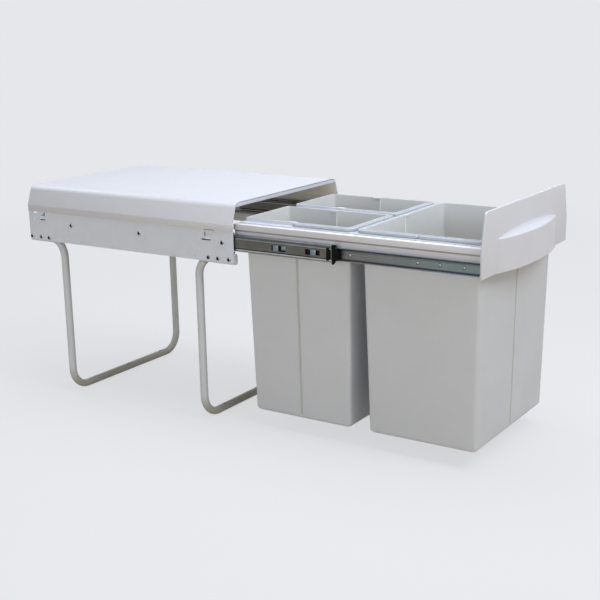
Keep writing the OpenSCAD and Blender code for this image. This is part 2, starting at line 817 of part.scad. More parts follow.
module bin_shell(size, rear_rim, bead_faces, pivots) {
    half = size / 2;
    wall = [bin_wall, bin_wall];
    bead_d = bead_faces[0] == 0 ? half.x : half.y;
    rim_low = [-half.x - rear_rim, -half.y - rim_size.x];
    rim_high = half + [rim_size.x, rim_size.x];
    bead_low = bin_z + bin_foot;
    difference() {
        union() {
            difference() {
                bin_block(size, 0, bin_z, carriage_z);
                bin_block(size, bin_wall, bin_z + bin_wall, carriage_z + 1);
            }
            translate([0, 0, carriage_z]) linear_extrude(rim_size.y) difference() {
                rounded_rect(rim_low, rim_high, min(bin_corner_r, rear_rim * 2));
                rounded_rect(-half + wall, half - wall, bin_corner_r - bin_wall);
            }
            translate([0, 0, carriage_z]) linear_extrude(lip_h) difference() {
                rounded_rect(-half, half, bin_corner_r);
                rounded_rect(-half + wall, half - wall, bin_corner_r - bin_wall);
            }
            intersection() {
                for (a = bead_faces) wall_bead(bead_d - bin_wall, a, bead_low, lip_top, bead_r);
                translate([-half.x, -half.y, bin_z]) cube([size.x, size.y, bin_h + lip_h]);
            }
        }
        for (a = bead_faces) wall_bead(bead_d + bead_r * 0.4, a, bead_low, carriage_z, bead_r);
        for (x = pivots) rod_y([x, -half.y - 1, pivot_z], peg_r + fit_gap, size.y + 2);
    }
}

module large_bin() {
    lug = [4, 3, rim_size.y];
    color("gainsboro") translate([large_x, 0, 0]) {
        bin_shell([bin_len, bin_w], rim_size.x, [0, 180], [-pivot_offset, pivot_offset]);
        for (side = [LEFT, RIGHT]) on_side(side)
            translate([0, -bin_w / 2 - rim_size.x, carriage_z]) linear_extrude(lug.z)
                polygon([[-lug.x, thin], [0, -lug.y], [lug.x, thin]]);
    }
}

module small_bin(side) {
    color("gainsboro") on_side(side) translate([small_x, -small_y, 0])
        bin_shell([bin_len, small_w], rear_rim_w, [90, -90], [0]);
}

// Bails: a strip round half of the rim, on round ends with pegs that turn in the bin's lip

module bail(size, pivot, way) {
    gap = [bail_gap, bail_gap];
    strip = [bail_size.x, bail_size.x];
    half = size / 2;
    r = bin_corner_r + bail_gap;
    h = bail_size.y;
    leg_low = half.y + bail_gap;
    color("lightsteelblue") {
        intersection() {
            translate([0, 0, pivot_z - h / 2]) linear_extrude(h) difference() {
                rounded_rect(-half - gap - strip, half + gap + strip, r + bail_size.x / 2);
                rounded_rect(-half - gap, half + gap, r);
            }
            translate([way > 0 ? pivot : pivot - far, -far / 2, 0]) cube([far, far, far]);
        }
        for (side = [LEFT, RIGHT]) on_side(side) {
            rod_y([pivot, -leg_low - bail_size.x, pivot_z], h / 2, bail_size.x);
            rod_y([pivot, -leg_low - thin, pivot_z], peg_r, bail_gap + bin_wall + thin);
        }
    }
}

module large_bin_rear_bail() translate([large_x, 0, 0]) bail([bin_len, bin_w], -pivot_offset, -1);
module large_bin_front_bail() translate([large_x, 0, 0]) bail([bin_len, bin_w], pivot_offset, 1);
module small_bin_bail(side) on_side(side) translate([small_x, -small_y, 0]) bail([bin_len, small_w], 0, 1);

top_cover();
side_plate(LEFT);  // left_side_plate
side_plate(RIGHT);  // right_side_plate
rear_leg();
front_leg();
leg_rivets();
slide_screws();
outer_rail(LEFT);  // left_outer_rail
outer_rail(RIGHT);  // right_outer_rail
outer_cage(LEFT);  // left_outer_cage
outer_cage(RIGHT);  // right_outer_cage
outer_balls(LEFT);  // left_outer_balls
outer_balls(RIGHT);  // right_outer_balls
middle_rail(LEFT);  // left_middle_rail
middle_rail(RIGHT);  // right_middle_rail
end_stop(LEFT);  // left_end_stop
end_stop(RIGHT);  // right_end_stop
inner_cage(LEFT);  // left_inner_cage
inner_cage(RIGHT);  // right_inner_cage
inner_balls(LEFT);  // left_inner_balls
inner_balls(RIGHT);  // right_inner_balls
inner_rail(LEFT);  // left_inner_rail
inner_rail(RIGHT);  // right_inner_rail
rail_screws();
side_profile(LEFT);  // left_side_profile
side_profile(RIGHT);  // right_side_profile
rear_crossbar();
middle_crossbar();
front_crossbar();
front_panel();
panel_screws();
large_bin();
small_bin(LEFT);  // left_small_bin
small_bin(RIGHT);  // right_small_bin
large_bin_rear_bail();
large_bin_front_bail();
small_bin_bail(LEFT);  // left_small_bin_bail
small_bin_bail(RIGHT);  // right_small_bin_bail
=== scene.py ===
"""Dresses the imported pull-out bin frame: coated sheet steel, plated slides and moulded bins."""

from __future__ import annotations

import logging
import math
import sys
from collections.abc import Callable, Iterable, Sequence
from dataclasses import dataclass, field
from enum import Enum
from typing import ClassVar

import bmesh
import bpy
from bmesh.types import BMEdge, BMFace, BMVert
from bpy.types import Material, Node, NodeSocket, NodeTree
from mathutils import Matrix, Vector

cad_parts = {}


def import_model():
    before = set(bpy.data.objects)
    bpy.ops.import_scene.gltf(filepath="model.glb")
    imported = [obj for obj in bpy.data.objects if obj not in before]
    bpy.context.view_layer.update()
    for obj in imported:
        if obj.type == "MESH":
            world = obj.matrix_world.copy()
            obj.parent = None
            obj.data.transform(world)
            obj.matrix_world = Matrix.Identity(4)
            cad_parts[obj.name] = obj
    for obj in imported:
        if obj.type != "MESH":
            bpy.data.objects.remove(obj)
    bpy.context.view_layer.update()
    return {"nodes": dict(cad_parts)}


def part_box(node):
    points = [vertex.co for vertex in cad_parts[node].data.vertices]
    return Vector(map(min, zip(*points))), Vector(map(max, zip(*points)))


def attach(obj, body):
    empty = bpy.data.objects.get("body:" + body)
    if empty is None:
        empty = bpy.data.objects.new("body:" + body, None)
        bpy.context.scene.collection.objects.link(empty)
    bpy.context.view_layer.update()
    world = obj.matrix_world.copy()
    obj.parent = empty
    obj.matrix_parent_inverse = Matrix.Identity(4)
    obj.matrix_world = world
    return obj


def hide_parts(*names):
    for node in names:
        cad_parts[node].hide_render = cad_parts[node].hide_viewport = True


LOG = logging.getLogger("bin_frame")
MM = 0.001
NEAR = 0.1  # millimetres within which a place counts as on a level or a line
WELD = 1e-6  # metres within which points are joined
SHARP_ANGLE = 32.0  # degrees above which an edge is shaded sharp
EDGE_BREAK = 0.2  # share of a sheet's thickness that its broken edges take
MIX_FACTOR, MIX_FIRST, MIX_SECOND, MIX_RESULT = 0, 6, 7, 2  # a Mix node's colour sockets

Point = tuple[float, float, float]
Pair = tuple[float, float]
Tone = tuple[int, int, int]
Colour = tuple[float, float, float, float]
PlaceTest = Callable[[Vector], bool]
FaceTest = Callable[[Vector, Vector], bool]


class Side(Enum):
    """The two sides of the frame; the value is the direction along Y."""

    LEFT = -1
    RIGHT = 1

    def node(self, name: str) -> str:
        """Name of this side's copy of a node."""
        return f"{self.name.lower()}_{name}"


class Rounded(Enum):
    """What a rounding works on, by the bevel operator's names."""

    EDGES = "EDGES"
    CORNERS = "VERTICES"


def both(name: str) -> tuple[str, ...]:
    """Names of both sides' copies of a node."""
    return tuple(side.node(name) for side in Side)


def srgb(tone: Tone) -> Colour:
    """Turns an 8-bit display colour into the linear colour that a shader takes.

    Args:
        tone: Red, green and blue, 0 to 255.

    Returns:
        The linear colour with full alpha.
    """
    shares = [value / 255 for value in tone]
    linear = [s / 12.92 if s <= 0.04045 else ((s + 0.055) / 1.055) ** 2.4 for s in shares]
    return (*linear, 1.0)


def node_box(node: str) -> tuple[Vector, Vector]:
    """Lowest and highest corners of a solid at rest, in millimetres."""
    low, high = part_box(node)
    return Vector(low) / MM, Vector(high) / MM


def mirrored(left: Sequence[Pair]) -> list[Pair]:
    """Outline across the frame, from the corners of its left half upwards."""
    return [*left, *((-y, z) for y, z in reversed(left))]


def axis_vector(axis: int, length: float = 1.0) -> Vector:
    """Vector of a length along one axis."""
    return Vector([length if index == axis else 0.0 for index in range(3)])


class Blank:
    """A workpiece: a bmesh shaped by operators, with every size in millimetres."""

    def __init__(self) -> None:
        """Starts an empty workpiece."""
        self.mesh = bmesh.new()

    def wire(self, points: Iterable[Sequence[float]]) -> list[BMEdge]:
        """Joins points by straight edges, in order."""
        verts = [self.mesh.verts.new(Vector(point) * MM) for point in points]
        return [self.mesh.edges.new(pair) for pair in zip(verts, verts[1:])]

    def face(self, points: Iterable[Sequence[float]]) -> BMFace:
        """Makes one flat face from its corners, in order."""
        return self.mesh.faces.new([self.mesh.verts.new(Vector(point) * MM) for point in points])

    def shift(self, made: Sequence[object], move: Point) -> None:
        """Moves the points of what an operator has just drawn out."""
        verts = [item for item in made if isinstance(item, BMVert)]
        bmesh.ops.translate(self.mesh, verts=verts, vec=Vector(move) * MM)

    def sweep(self, edges: Sequence[BMEdge], move: Point) -> list[BMEdge]:
        """Draws edges out into faces.

        Args:
            edges: Edges to draw out.
            move: How far the new edges stand from the old ones.

        Returns:
            The new edges.
        """
        made = bmesh.ops.extrude_edge_only(self.mesh, edges=edges)["geom"]
        self.shift(made, move)
        return [item for item in made if isinstance(item, BMEdge)]

    def grow(self, faces: Sequence[BMFace], move: Point) -> None:
        """Draws faces out into a solid, or into a pocket of one."""
        self.shift(bmesh.ops.extrude_face_region(self.mesh, geom=list(faces))["geom"], move)

    def slab(self, move: Point) -> None:
        """Draws a flat workpiece out into a closed plate."""
        self.grow(self.mesh.faces[:], move)
        self.seal()

    def block(self, low: Sequence[float], high: Sequence[float]) -> None:
        """Makes a rectangular block.

        Args:
            low: Lowest corner.
            high: Highest corner.
        """
        low, high = Vector(low), Vector(high)
        size = Matrix.Diagonal((*((high - low) * MM), 1))
        place = Matrix.Translation((low + high) / 2 * MM) @ size
        bmesh.ops.create_cube(self.mesh, size=1.0, matrix=place)

    def turn(self, profile: Sequence[Pair], seat: Point, out: Point, steps: int = 24) -> None:
        """Turns a half-section about an axis into a closed solid.

        Args:
            profile: Radius and height of each corner, from one end of the axis to the other.
            seat: Point on the axis where the height is nought.
            out: Direction of the axis.
            steps: Sides of the solid.
        """
        seat, axis = Vector(seat), Vector(out)
        across = axis.orthogonal().normalized()
        edges = self.wire([seat + across * radius + axis * height for radius, height in profile])
        verts = list({vert for edge in edges for vert in edge.verts})
        bmesh.ops.spin(
            self.mesh, geom=verts + edges, cent=seat * MM, axis=axis, dvec=(0, 0, 0),
            angle=math.tau, steps=steps, use_merge=True, use_duplicate=False,
        )

    def pick(self, test: PlaceTest, sharp: float = 0.0) -> list[BMEdge]:
        """Finds edges.

        Args:
            test: Passes the middle of a wanted edge, in millimetres.
            sharp: Least angle between the edge's two faces, in degrees.

        Returns:
            The edges found.
        """
        self.mesh.normal_update()
        least = math.radians(sharp)
        return [
            edge for edge in self.mesh.edges
            if edge.calc_face_angle(0.0) >= least
            and test((edge.verts[0].co + edge.verts[1].co) / (2 * MM))
        ]

    def corners(self, test: PlaceTest) -> list[BMVert]:
        """Finds points by their place in millimetres."""
        return [vert for vert in self.mesh.verts if test(vert.co / MM)]

    def bevel(
        self, items: Sequence[BMEdge | BMVert], width: float, segments: int = 4,
        kind: Rounded = Rounded.EDGES,
    ) -> None:
        """Rounds edges, or the corners of a wire or a flat face.

        Args:
            items: Edges or corners to round.
            width: How far the rounding reaches on each face or edge beside them.
            segments: Steps of the rounding.
            kind: Whether edges or corners are rounded.
        """
        bmesh.ops.bevel(
            self.mesh, geom=list(items), offset=width * MM, offset_type="OFFSET",
            segments=segments, profile=0.5, affect=kind.value, material=-1, clamp_overlap=True,
        )

    def cut(
        self, point: Sequence[float], normal: Sequence[float],
        faces: Sequence[BMFace] | None = None, clear: bool = False,
    ) -> None:
        """Cuts faces along a plane.

        Args:
            point: A point on the plane.
            normal: Direction of the plane's outer side.
            faces: Faces to cut, or the whole workpiece.
            clear: Whether what lies on the outer side falls away.
        """
        geometry = [*self.mesh.verts, *self.mesh.edges, *self.mesh.faces]
        if faces is not None:
            verts = {vert for face in faces for vert in face.verts}
            edges = {edge for face in faces for edge in face.edges}
            geometry = [*verts, *edges, *faces]
        bmesh.ops.bisect_plane(
            self.mesh, geom=geometry, dist=WELD / 10, plane_co=Vector(point) * MM,
            plane_no=normal, clear_outer=clear,
        )

    def seal(self) -> None:
        """Joins points that lie on each other and turns all faces outwards."""
        bmesh.ops.remove_doubles(self.mesh, verts=self.mesh.verts[:], dist=WELD)
        bmesh.ops.recalc_face_normals(self.mesh, faces=self.mesh.faces[:])

    def thicken(self, wall: float) -> None:
        """Gives a sheet its thickness on the inner side."""
        self.seal()
        bmesh.ops.solidify(self.mesh, geom=self.mesh.faces[:], thickness=wall * MM)

    def soften(self, width: float, segments: int = 2, sharp: float = 50.0) -> None:
        """Breaks every sharp edge."""
        self.bevel(self.pick(lambda middle: True, sharp), width, segments)

    def mark(self, test: FaceTest, accent: int = 1) -> None:
        """Marks faces for an accent finish.

        Args:
            test: Passes the middle of a wanted face, in millimetres, and its normal.
            accent: Number of the accent, from 1.
        """
        self.mesh.normal_update()
        for face in self.mesh.faces:
            if test(face.calc_center_median() / MM, face.normal):
                face.material_index = accent

    def take(self, other: Blank) -> None:
        """Adds another workpiece to this one.

        Args:
            other: The other workpiece, which is used up.
        """
        part = bpy.data.meshes.new("part")
        other.mesh.to_mesh(part)
        other.mesh.free()
        self.mesh.from_mesh(part)
        bpy.data.meshes.remove(part)

    def finish(
        self, name: str, body: str, finish: Finish, nodes: Sequence[str],
        accents: Sequence[Finish] = (),
    ) -> None:
        """Makes the workpiece a piece of the object.

        Args:
            name: Name of the piece.
            body: Body that it moves with.
            finish: Its surface.
            nodes: Solids that it stands for.
            accents: Surfaces of the faces that were marked.
        """
        data = bpy.data.meshes.new(name)
        self.mesh.to_mesh(data)
        self.mesh.free()
        data.shade_smooth()
        data.set_sharp_from_angle(angle=math.radians(SHARP_ANGLE))
        for surface in (finish, *accents):
            data.materials.append(surface.material())
        piece = bpy.data.objects.new(name, data)
        bpy.context.scene.collection.objects.link(piece)
        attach(piece, body)
        if nodes:
            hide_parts(*nodes)
        LOG.info("%s: %d faces on %s", name, len(data.polygons), body)


class Graph:
    """A shader node tree under construction."""

    def __init__(self, tree: NodeTree) -> None:
        """Takes over a tree and clears it."""
        self.tree = tree
        self.tree.nodes.clear()

    def add(
        self, kind: str, inputs: dict[str | int, object] | None = None, **settings: object
    ) -> Node:
        """Adds a node.

        Args:
            kind: Type of the node.
            inputs: Value, or socket to link from, for each input by name or number.
            settings: Options of the node.

        Returns:
            The new node.
        """
        node = self.tree.nodes.new(kind)
        for name, value in settings.items():
            setattr(node, name, value)
        self.feed(node, inputs or {})
        return node

    def feed(self, node: Node, inputs: dict[str | int, object]) -> None:
        """Sets inputs of a node.

        Args:
            node: The node.
            inputs: Value, or socket to link from, for each input by name or number.
        """
        for name, value in inputs.items():
            if isinstance(value, NodeSocket):
                self.tree.links.new(value, node.inputs[name])
            else:
                node.inputs[name].default_value = value

    def calc(self, operation: str, *values: object) -> NodeSocket:
        """Result of a Math node."""
        return self.add("ShaderNodeMath", dict(enumerate(values)), operation=operation).outputs[0]

    def vector(self, operation: str, *values: object) -> NodeSocket:
        """Result of a Vector Math node; a length is a plain value."""
        node = self.add("ShaderNodeVectorMath", dict(enumerate(values)), operation=operation)
        return node.outputs["Value" if operation == "LENGTH" else "Vector"]

    def blend(
        self, factor: object, first: object, second: object, blend_type: str = "MIX"
    ) -> NodeSocket:
        """Blends two colours.

        Args:
            factor: Share of the second colour.
            first: First colour.
            second: Second colour.
            blend_type: How they are blended.

        Returns:
            The blended colour.
        """
        inputs = {MIX_FACTOR: factor, MIX_FIRST: first, MIX_SECOND: second}
        node = self.add("ShaderNodeMix", inputs, data_type="RGBA", blend_type=blend_type)
        return node.outputs[MIX_RESULT]

    def multiply(self, first: object, second: object) -> NodeSocket:
        """Multiplies two colours."""
        return self.blend(1.0, first, second, "MULTIPLY")

    def noise(
        self, vector: object, scale: object, detail: float, roughness: float = 0.55
    ) -> NodeSocket:
        """Value of a noise texture at the coordinates."""
        inputs = {"Vector": vector, "Scale": scale, "Detail": detail, "Roughness": roughness}
        return self.add("ShaderNodeTexNoise", inputs).outputs[0]

    def remap(
        self, value: object, span: Pair, low: object = 0.0, high: object = 1.0
    ) -> NodeSocket:
        """Maps a value's span onto the range from low to high, clamped."""
        ends = {"From Min": span[0], "From Max": span[1], "To Min": low, "To Max": high}
        return self.add("ShaderNodeMapRange", {"Value": value, **ends}).outputs[0]

    def ramp(self, value: object, stops: Sequence[tuple[float, Colour]]) -> NodeSocket:
        """Adds a colour ramp.

        Args:
            value: Place on the ramp, 0 to 1.
            stops: Place and colour of each stop, in order.

        Returns:
            The colour.
        """
        node = self.add("ShaderNodeValToRGB", {"Fac": value})
        made = node.color_ramp.elements
        for index, (place, colour) in enumerate(stops):
            stop = made[index] if index < 2 else made.new(place)
            stop.position, stop.color = place, colour
        return node.outputs[0]


class Effect(Enum):
    """Surface effects that several finishes share, each a shader node group."""

    MOTTLE = "Mottle"
    GRAIN = "Grain"
    STREAKS = "Streaks"
    HANDLING = "Handling"

    def group(self) -> NodeTree:
        """The effect's node group, built the first time it is asked for."""
        return bpy.data.node_groups.get(self.value) or self.build()

    def sockets(self) -> tuple[dict[str, str], str]:
        """Lists what goes into the group and comes out of it.

        Returns:
            Name and type of each input but the coordinates, and the type of the result.
        """
        return {
            Effect.MOTTLE: (
                {"Base": "Color", "Shade": "Color", "Scale": "Float", "Amount": "Float"}, "Color",
            ),
            Effect.GRAIN: ({"Coarse": "Float", "Fine": "Float"}, "Float"),
            Effect.STREAKS: ({"Along": "Float", "Across": "Float"}, "Float"),
            Effect.HANDLING: ({"Scale": "Float", "Smooth": "Float", "Rough": "Float"}, "Float"),
        }[self]

    def build(self) -> NodeTree:
        """Builds the effect's node group.

        Returns:
            The new group.
        """
        tree = bpy.data.node_groups.new(self.value, "ShaderNodeTree")
        graph = Graph(tree)
        inputs, output = self.sockets()
        for name, kind in {"Vector": "Vector", **inputs}.items():
            tree.interface.new_socket(name, in_out="INPUT", socket_type=f"NodeSocket{kind}")
        tree.interface.new_socket("Result", in_out="OUTPUT", socket_type=f"NodeSocket{output}")
        source = graph.add("NodeGroupInput").outputs
        graph.add("NodeGroupOutput", {"Result": self.draw(graph, source)})
        return tree

    def draw(self, graph: Graph, source: bpy.types.bpy_prop_collection) -> NodeSocket:
        """Adds the nodes between the group's inputs and its result.

        Args:
            graph: The group under construction.
            source: Sockets of the group's input node.

        Returns:
            The socket that holds the result.
        """
        vector, patches = source["Vector"], (0.3, 0.7)
        if self is Effect.MOTTLE:
            cloud = graph.noise(vector, source["Scale"], detail=5.0, roughness=0.62)
            share = graph.remap(cloud, (0.32, 0.68), 0.0, source["Amount"])
            return graph.blend(share, source["Base"], source["Shade"])
        if self is Effect.GRAIN:
            coarse = graph.noise(vector, source["Coarse"], detail=2.0)
            fine = graph.noise(vector, source["Fine"], detail=2.0)
            return graph.calc("ADD", coarse, fine)
        if self is Effect.STREAKS:
            across = source["Across"]
            stretch = graph.add(
                "ShaderNodeCombineXYZ", {"X": source["Along"], "Y": across, "Z": across}
            ).outputs[0]
            lines = graph.vector("MULTIPLY", vector, stretch)
            return graph.remap(graph.noise(lines, 1.0, detail=3.0, roughness=0.6), patches)
        smudge = graph.noise(vector, source["Scale"], detail=4.0, roughness=0.6)
        return graph.remap(smudge, patches, source["Smooth"], source["Rough"])


class Surface(Graph):
    """A material's tree, with its shader and its coordinates."""

    def __init__(self, tree: NodeTree) -> None:
        """Gives a material's tree its shader and its coordinates.

        Args:
            tree: The tree, which is cleared first.
        """
        super().__init__(tree)
        self.shader = self.add("ShaderNodeBsdfPrincipled")
        self.add("ShaderNodeOutputMaterial", {"Surface": self.shader.outputs[0]})
        self.place = self.add("ShaderNodeTexCoord").outputs["Object"]

    def effect(self, effect: Effect, **values: object) -> NodeSocket:
        """Places a shared effect.

        Args:
            effect: Effect to place.
            values: Value of each of its inputs but the coordinates.

        Returns:
            Its result.
        """
        inputs = {name.capitalize(): value for name, value in values.items()}
        inputs["Vector"] = self.place
        return self.add("ShaderNodeGroup", inputs, node_tree=effect.group()).outputs["Result"]

    def relief(self, height: NodeSocket, strength: float, depth: float) -> NodeSocket:
        """Normal of a relief from its height, the share that shows and its depth."""
        inputs = {"Strength": strength, "Distance": depth * MM, "Height": height}
        return self.add("ShaderNodeBump", inputs).outputs[0]


@dataclass(frozen=True)
class Bands:
    """Tones over a piece's height, as stops given from a middle height in millimetres."""

    middle: float
    half: float
    stops: tuple[tuple[float, Tone], ...]

    def colour(self, surface: Surface) -> NodeSocket:
        """Colours the height.

        Args:
            surface: The material's tree.

        Returns:
            The colour.
        """
        height = surface.add("ShaderNodeSeparateXYZ", {0: surface.place}).outputs["Z"]
        span = ((self.middle - self.half) * MM, (self.middle + self.half) * MM)
        stops = [((at + self.half) / (2 * self.half), srgb(tone)) for at, tone in self.stops]
        return surface.ramp(surface.remap(height, span), stops)


@dataclass(frozen=True)
class Finish:
    """A surface finish; the subclasses say how its material is built."""

    name: str
    slot: str
    base: Tone
    shade: Tone
    bands: Bands | None = field(default=None, kw_only=True)

    def material(self) -> Material:
        """The finish's material, made the first time it is asked for."""
        return bpy.data.materials.get(self.name) or self.mix()

    def mix(self) -> Material:
        """Makes the material.

        Returns:
            The new material.
        """
        material = bpy.data.materials.new(self.name)
        material.use_nodes = True
        self.dress(Surface(material.node_tree))
        return material

    def dress(self, surface: Surface) -> None:
        """Feeds the finish's colour, gloss and relief to its shader."""
        raise NotImplementedError

    def tint(self, surface: Surface, colour: NodeSocket) -> NodeSocket:
        """Lays the bands over the finish's colour, if it has any."""
        return surface.multiply(colour, self.bands.colour(surface)) if self.bands else colour

    def mottle(self, surface: Surface, scale: float, amount: float) -> NodeSocket:
        """The finish's base colour with clouds of its shade."""
        tones = {"base": srgb(self.base), "shade": srgb(self.shade)}
        return surface.effect(Effect.MOTTLE, scale=scale, amount=amount, **tones)


@dataclass(frozen=True)
class Satin(Finish):
    """A satin surface: an uneven colour, a handled gloss and a fine grain."""

    smooth: float
    rough: float
    ior: float
    grain: float
    cloud: ClassVar[Pair]
    smudge_scale: ClassVar[float]
    grain_scales: ClassVar[Pair]
    grain_depth: ClassVar[float]

    def dress(self, surface: Surface) -> None:
        """Feeds the colour, gloss and grain to the shader.

        Args:
            surface: The material's tree.
        """
        coarse, fine = self.grain_scales
        grain = surface.effect(Effect.GRAIN, coarse=coarse, fine=fine)
        gloss = {"scale": self.smudge_scale, "smooth": self.smooth, "rough": self.rough}
        surface.feed(surface.shader, {
            "Base Color": self.tint(surface, self.mottle(surface, *self.cloud)),
            "Roughness": surface.effect(Effect.HANDLING, **gloss), "IOR": self.ior,
            "Normal": surface.relief(grain, self.grain, self.grain_depth),
        })


@dataclass(frozen=True)
class Moulding(Satin):
    """Moulded plastic: fine mould grain under a soft satin gloss."""

    smooth: float = 0.34
    rough: float = 0.48
    ior: float = 1.49
    grain: float = 0.1
    cloud: ClassVar[Pair] = (11.0, 0.6)
    smudge_scale: ClassVar[float] = 18.0
    grain_scales: ClassVar[Pair] = (900.0, 2400.0)
    grain_depth: ClassVar[float] = 0.15


@dataclass(frozen=True)
class Coating(Satin):
    """Powder coating: a faint orange peel over a slightly uneven colour."""

    smooth: float = 0.36
    rough: float = 0.5
    ior: float = 1.48
    grain: float = 0.05
    cloud: ClassVar[Pair] = (38.0, 0.55)
    smudge_scale: ClassVar[float] = 14.0
    grain_scales: ClassVar[Pair] = (420.0, 1100.0)
    grain_depth: ClassVar[float] = 0.4


@dataclass(frozen=True)
class SpottedCoating(Coating):
    """Powder coating over sheet with small punched dimples, given by their X and Z."""

    dimples: tuple[Pair, ...] = ()
    dimple_r: float = 2.6
    dimple_depth: float = 1.2
    dimple_share: float = 0.8
    dimple_shape: Point = (1, 0, 0.6)

    def dress(self, surface: Surface) -> None:
        """Dresses the coating and sinks the dimples into it.

        Args:
            surface: The material's tree.
        """
        super().dress(surface)
        normal = surface.shader.inputs["Normal"].links[0].from_socket
        for x, z in self.dimples:
            step = surface.vector("SUBTRACT", surface.place, (x * MM, 0, z * MM))
            reach = surface.vector("LENGTH", surface.vector("MULTIPLY", step, self.dimple_shape))
            floor = surface.remap(reach, (0.0, self.dimple_r * MM))
            sunk = surface.relief(floor, self.dimple_share, self.dimple_depth)
            surface.feed(sunk.node, {"Normal": normal})
            normal = sunk
        surface.feed(surface.shader, {"Normal": normal})


@dataclass(frozen=True)
class Plating(Finish):
    """Plated steel: rolling streaks along the length and worn, brighter places."""

    smooth: float = 0.24
    rough: float = 0.42
    along: float = 9.0
    across: float = 900.0
    cloud: ClassVar[Pair] = (60.0, 0.8)
    streak_share: ClassVar[float] = 0.45
    streak_relief: ClassVar[Pair] = (0.12, 0.05)

    def dress(self, surface: Surface) -> None:
        """Feeds the colour, gloss and rolling lines to the shader.

        Args:
            surface: The material's tree.
        """
        full = (0.0, 1.0)
        streaks = surface.effect(Effect.STREAKS, along=self.along, across=self.across)
        share = surface.remap(streaks, full, high=self.streak_share)
        lined = surface.blend(share, self.mottle(surface, *self.cloud), srgb(self.shade))
        surface.feed(surface.shader, {
            "Base Color": self.tint(surface, lined), "Metallic": 1.0,
            "Roughness": surface.remap(streaks, full, self.smooth, self.rough),
            "Normal": surface.relief(streaks, *self.streak_relief),
        })


@dataclass(frozen=True)
class RolledSteel(Plating):
    """Steel of a slide rail, with painted shade and highlights in bands and a painted reflection
    tone along it.
    """

    # Painted reflection: the tone changes from rear to front over this span along X.
    span: Pair = (0.0, 1.0)
    rear: Tone = (255, 255, 255)
    front: Tone = (255, 255, 255)
    # Painted shade: faces this far out, against the side plate, turn near black.
    film_y: Pair = (168.3, 168.5)
    film: Tone = (14, 14, 14)

    def tint(self, surface: Surface, colour: NodeSocket) -> NodeSocket:
        """Lays painted shade and highlight bands over the rail's height, a painted reflection tone
        along it, and painted shade on the faces against the side plate.

        Args:
            surface: The material's tree.
            colour: Colour of the plating.

        Returns:
            The colour of the rail.
        """
        banded = super().tint(surface, colour)
        place = surface.add("ShaderNodeSeparateXYZ", {0: surface.place}).outputs
        way = surface.remap(place["X"], (self.span[0] * MM, self.span[1] * MM))
        toned = surface.multiply(banded, surface.blend(way, srgb(self.rear), srgb(self.front)))
        out = surface.calc("ABSOLUTE", place["Y"])
        film = surface.remap(out, (self.film_y[0] * MM, self.film_y[1] * MM))
        return surface.blend(film, toned, srgb(self.film))


SLIDE_Z, SLIDE_REACH = 330.5, 20.0

WHITE_PAINT = Coating("white_powder_coat", "white_paint", (212, 214, 221), (207, 209, 216))
# The cover's down-facing faces: a warmer copy of the white coat, painted warm shade.
UNDERSIDE_SHADE_PAINT = Coating("underside_painted_shade_coat", "white_paint", (232, 229, 224), (226, 223, 218))
BAR_PAINT = Coating("crossbar_powder_coat", "white_paint", (222, 221, 223), (215, 214, 217))
# Bands over the profile's height: a painted shadow line under the fold step, a painted highlight
# along the top fold, and a lighter, bluer lower band.
PROFILE_PAINT = Coating(
    "profile_powder_coat", "white_paint", (255, 255, 255), (248, 248, 249),
    bands=Bands(353.0, 20.0, (
        (-9.0, (229, 231, 240)), (-3.6, (229, 231, 240)), (-3.0, (164, 163, 160)),
        (-0.6, (168, 167, 164)), (0.2, (219, 220, 227)), (8.6, (222, 223, 230)),
        (9.3, (250, 250, 252)),
    )),
)
# Bands: the legs turn darker and warmer over their lowest 50 mm, painted shade on the foot bars.
GREY_PAINT = Coating(
    "grey_powder_coat", "grey_paint", (208, 213, 219), (198, 203, 208),
    bands=Bands(100.0, 100.0, (
        (-99.0, (217, 211, 194)), (-84.0, (222, 217, 203)), (-50.0, (255, 255, 255)),
    )),
)
PLATE_PAINT = SpottedCoating(
    "side_plate_coat", "white_paint", (220, 227, 240), (210, 216, 227),
    dimples=((-151.0, 303.6), (-135.0, 307.3), (145.0, 304.0), (161.0, 301.0)),
)
OUTER_RAIL_STEEL = RolledSteel(
    "outer_rail_steel", "rail_steel", (255, 255, 255), (228, 228, 224),
    bands=Bands(SLIDE_Z, SLIDE_REACH, ((-18.0, (134, 134, 126)), (18.0, (146, 149, 148)))),
)
# Bands: painted shadow lines below the web's steps and painted highlights on the rolled edges.
MIDDLE_RAIL_STEEL = RolledSteel(
    "middle_rail_steel", "rail_steel", (255, 255, 255), (206, 205, 198), 0.36, 0.54,
    bands=Bands(SLIDE_Z, SLIDE_REACH, (
        (-14.5, (118, 118, 106)), (-11.2, (130, 130, 120)), (-10.6, (190, 194, 196)),
        (-9.3, (180, 184, 186)), (-8.8, (52, 52, 54)), (-7.4, (34, 34, 36)),
        (-6.8, (108, 105, 98)), (6.4, (104, 103, 98)), (7.1, (72, 72, 72)),
        (7.8, (152, 154, 150)), (8.8, (152, 154, 150)), (9.6, (96, 102, 104)),
        (12.4, (92, 98, 101)), (13.4, (172, 175, 175)), (14.6, (166, 169, 169)),
    )),
)
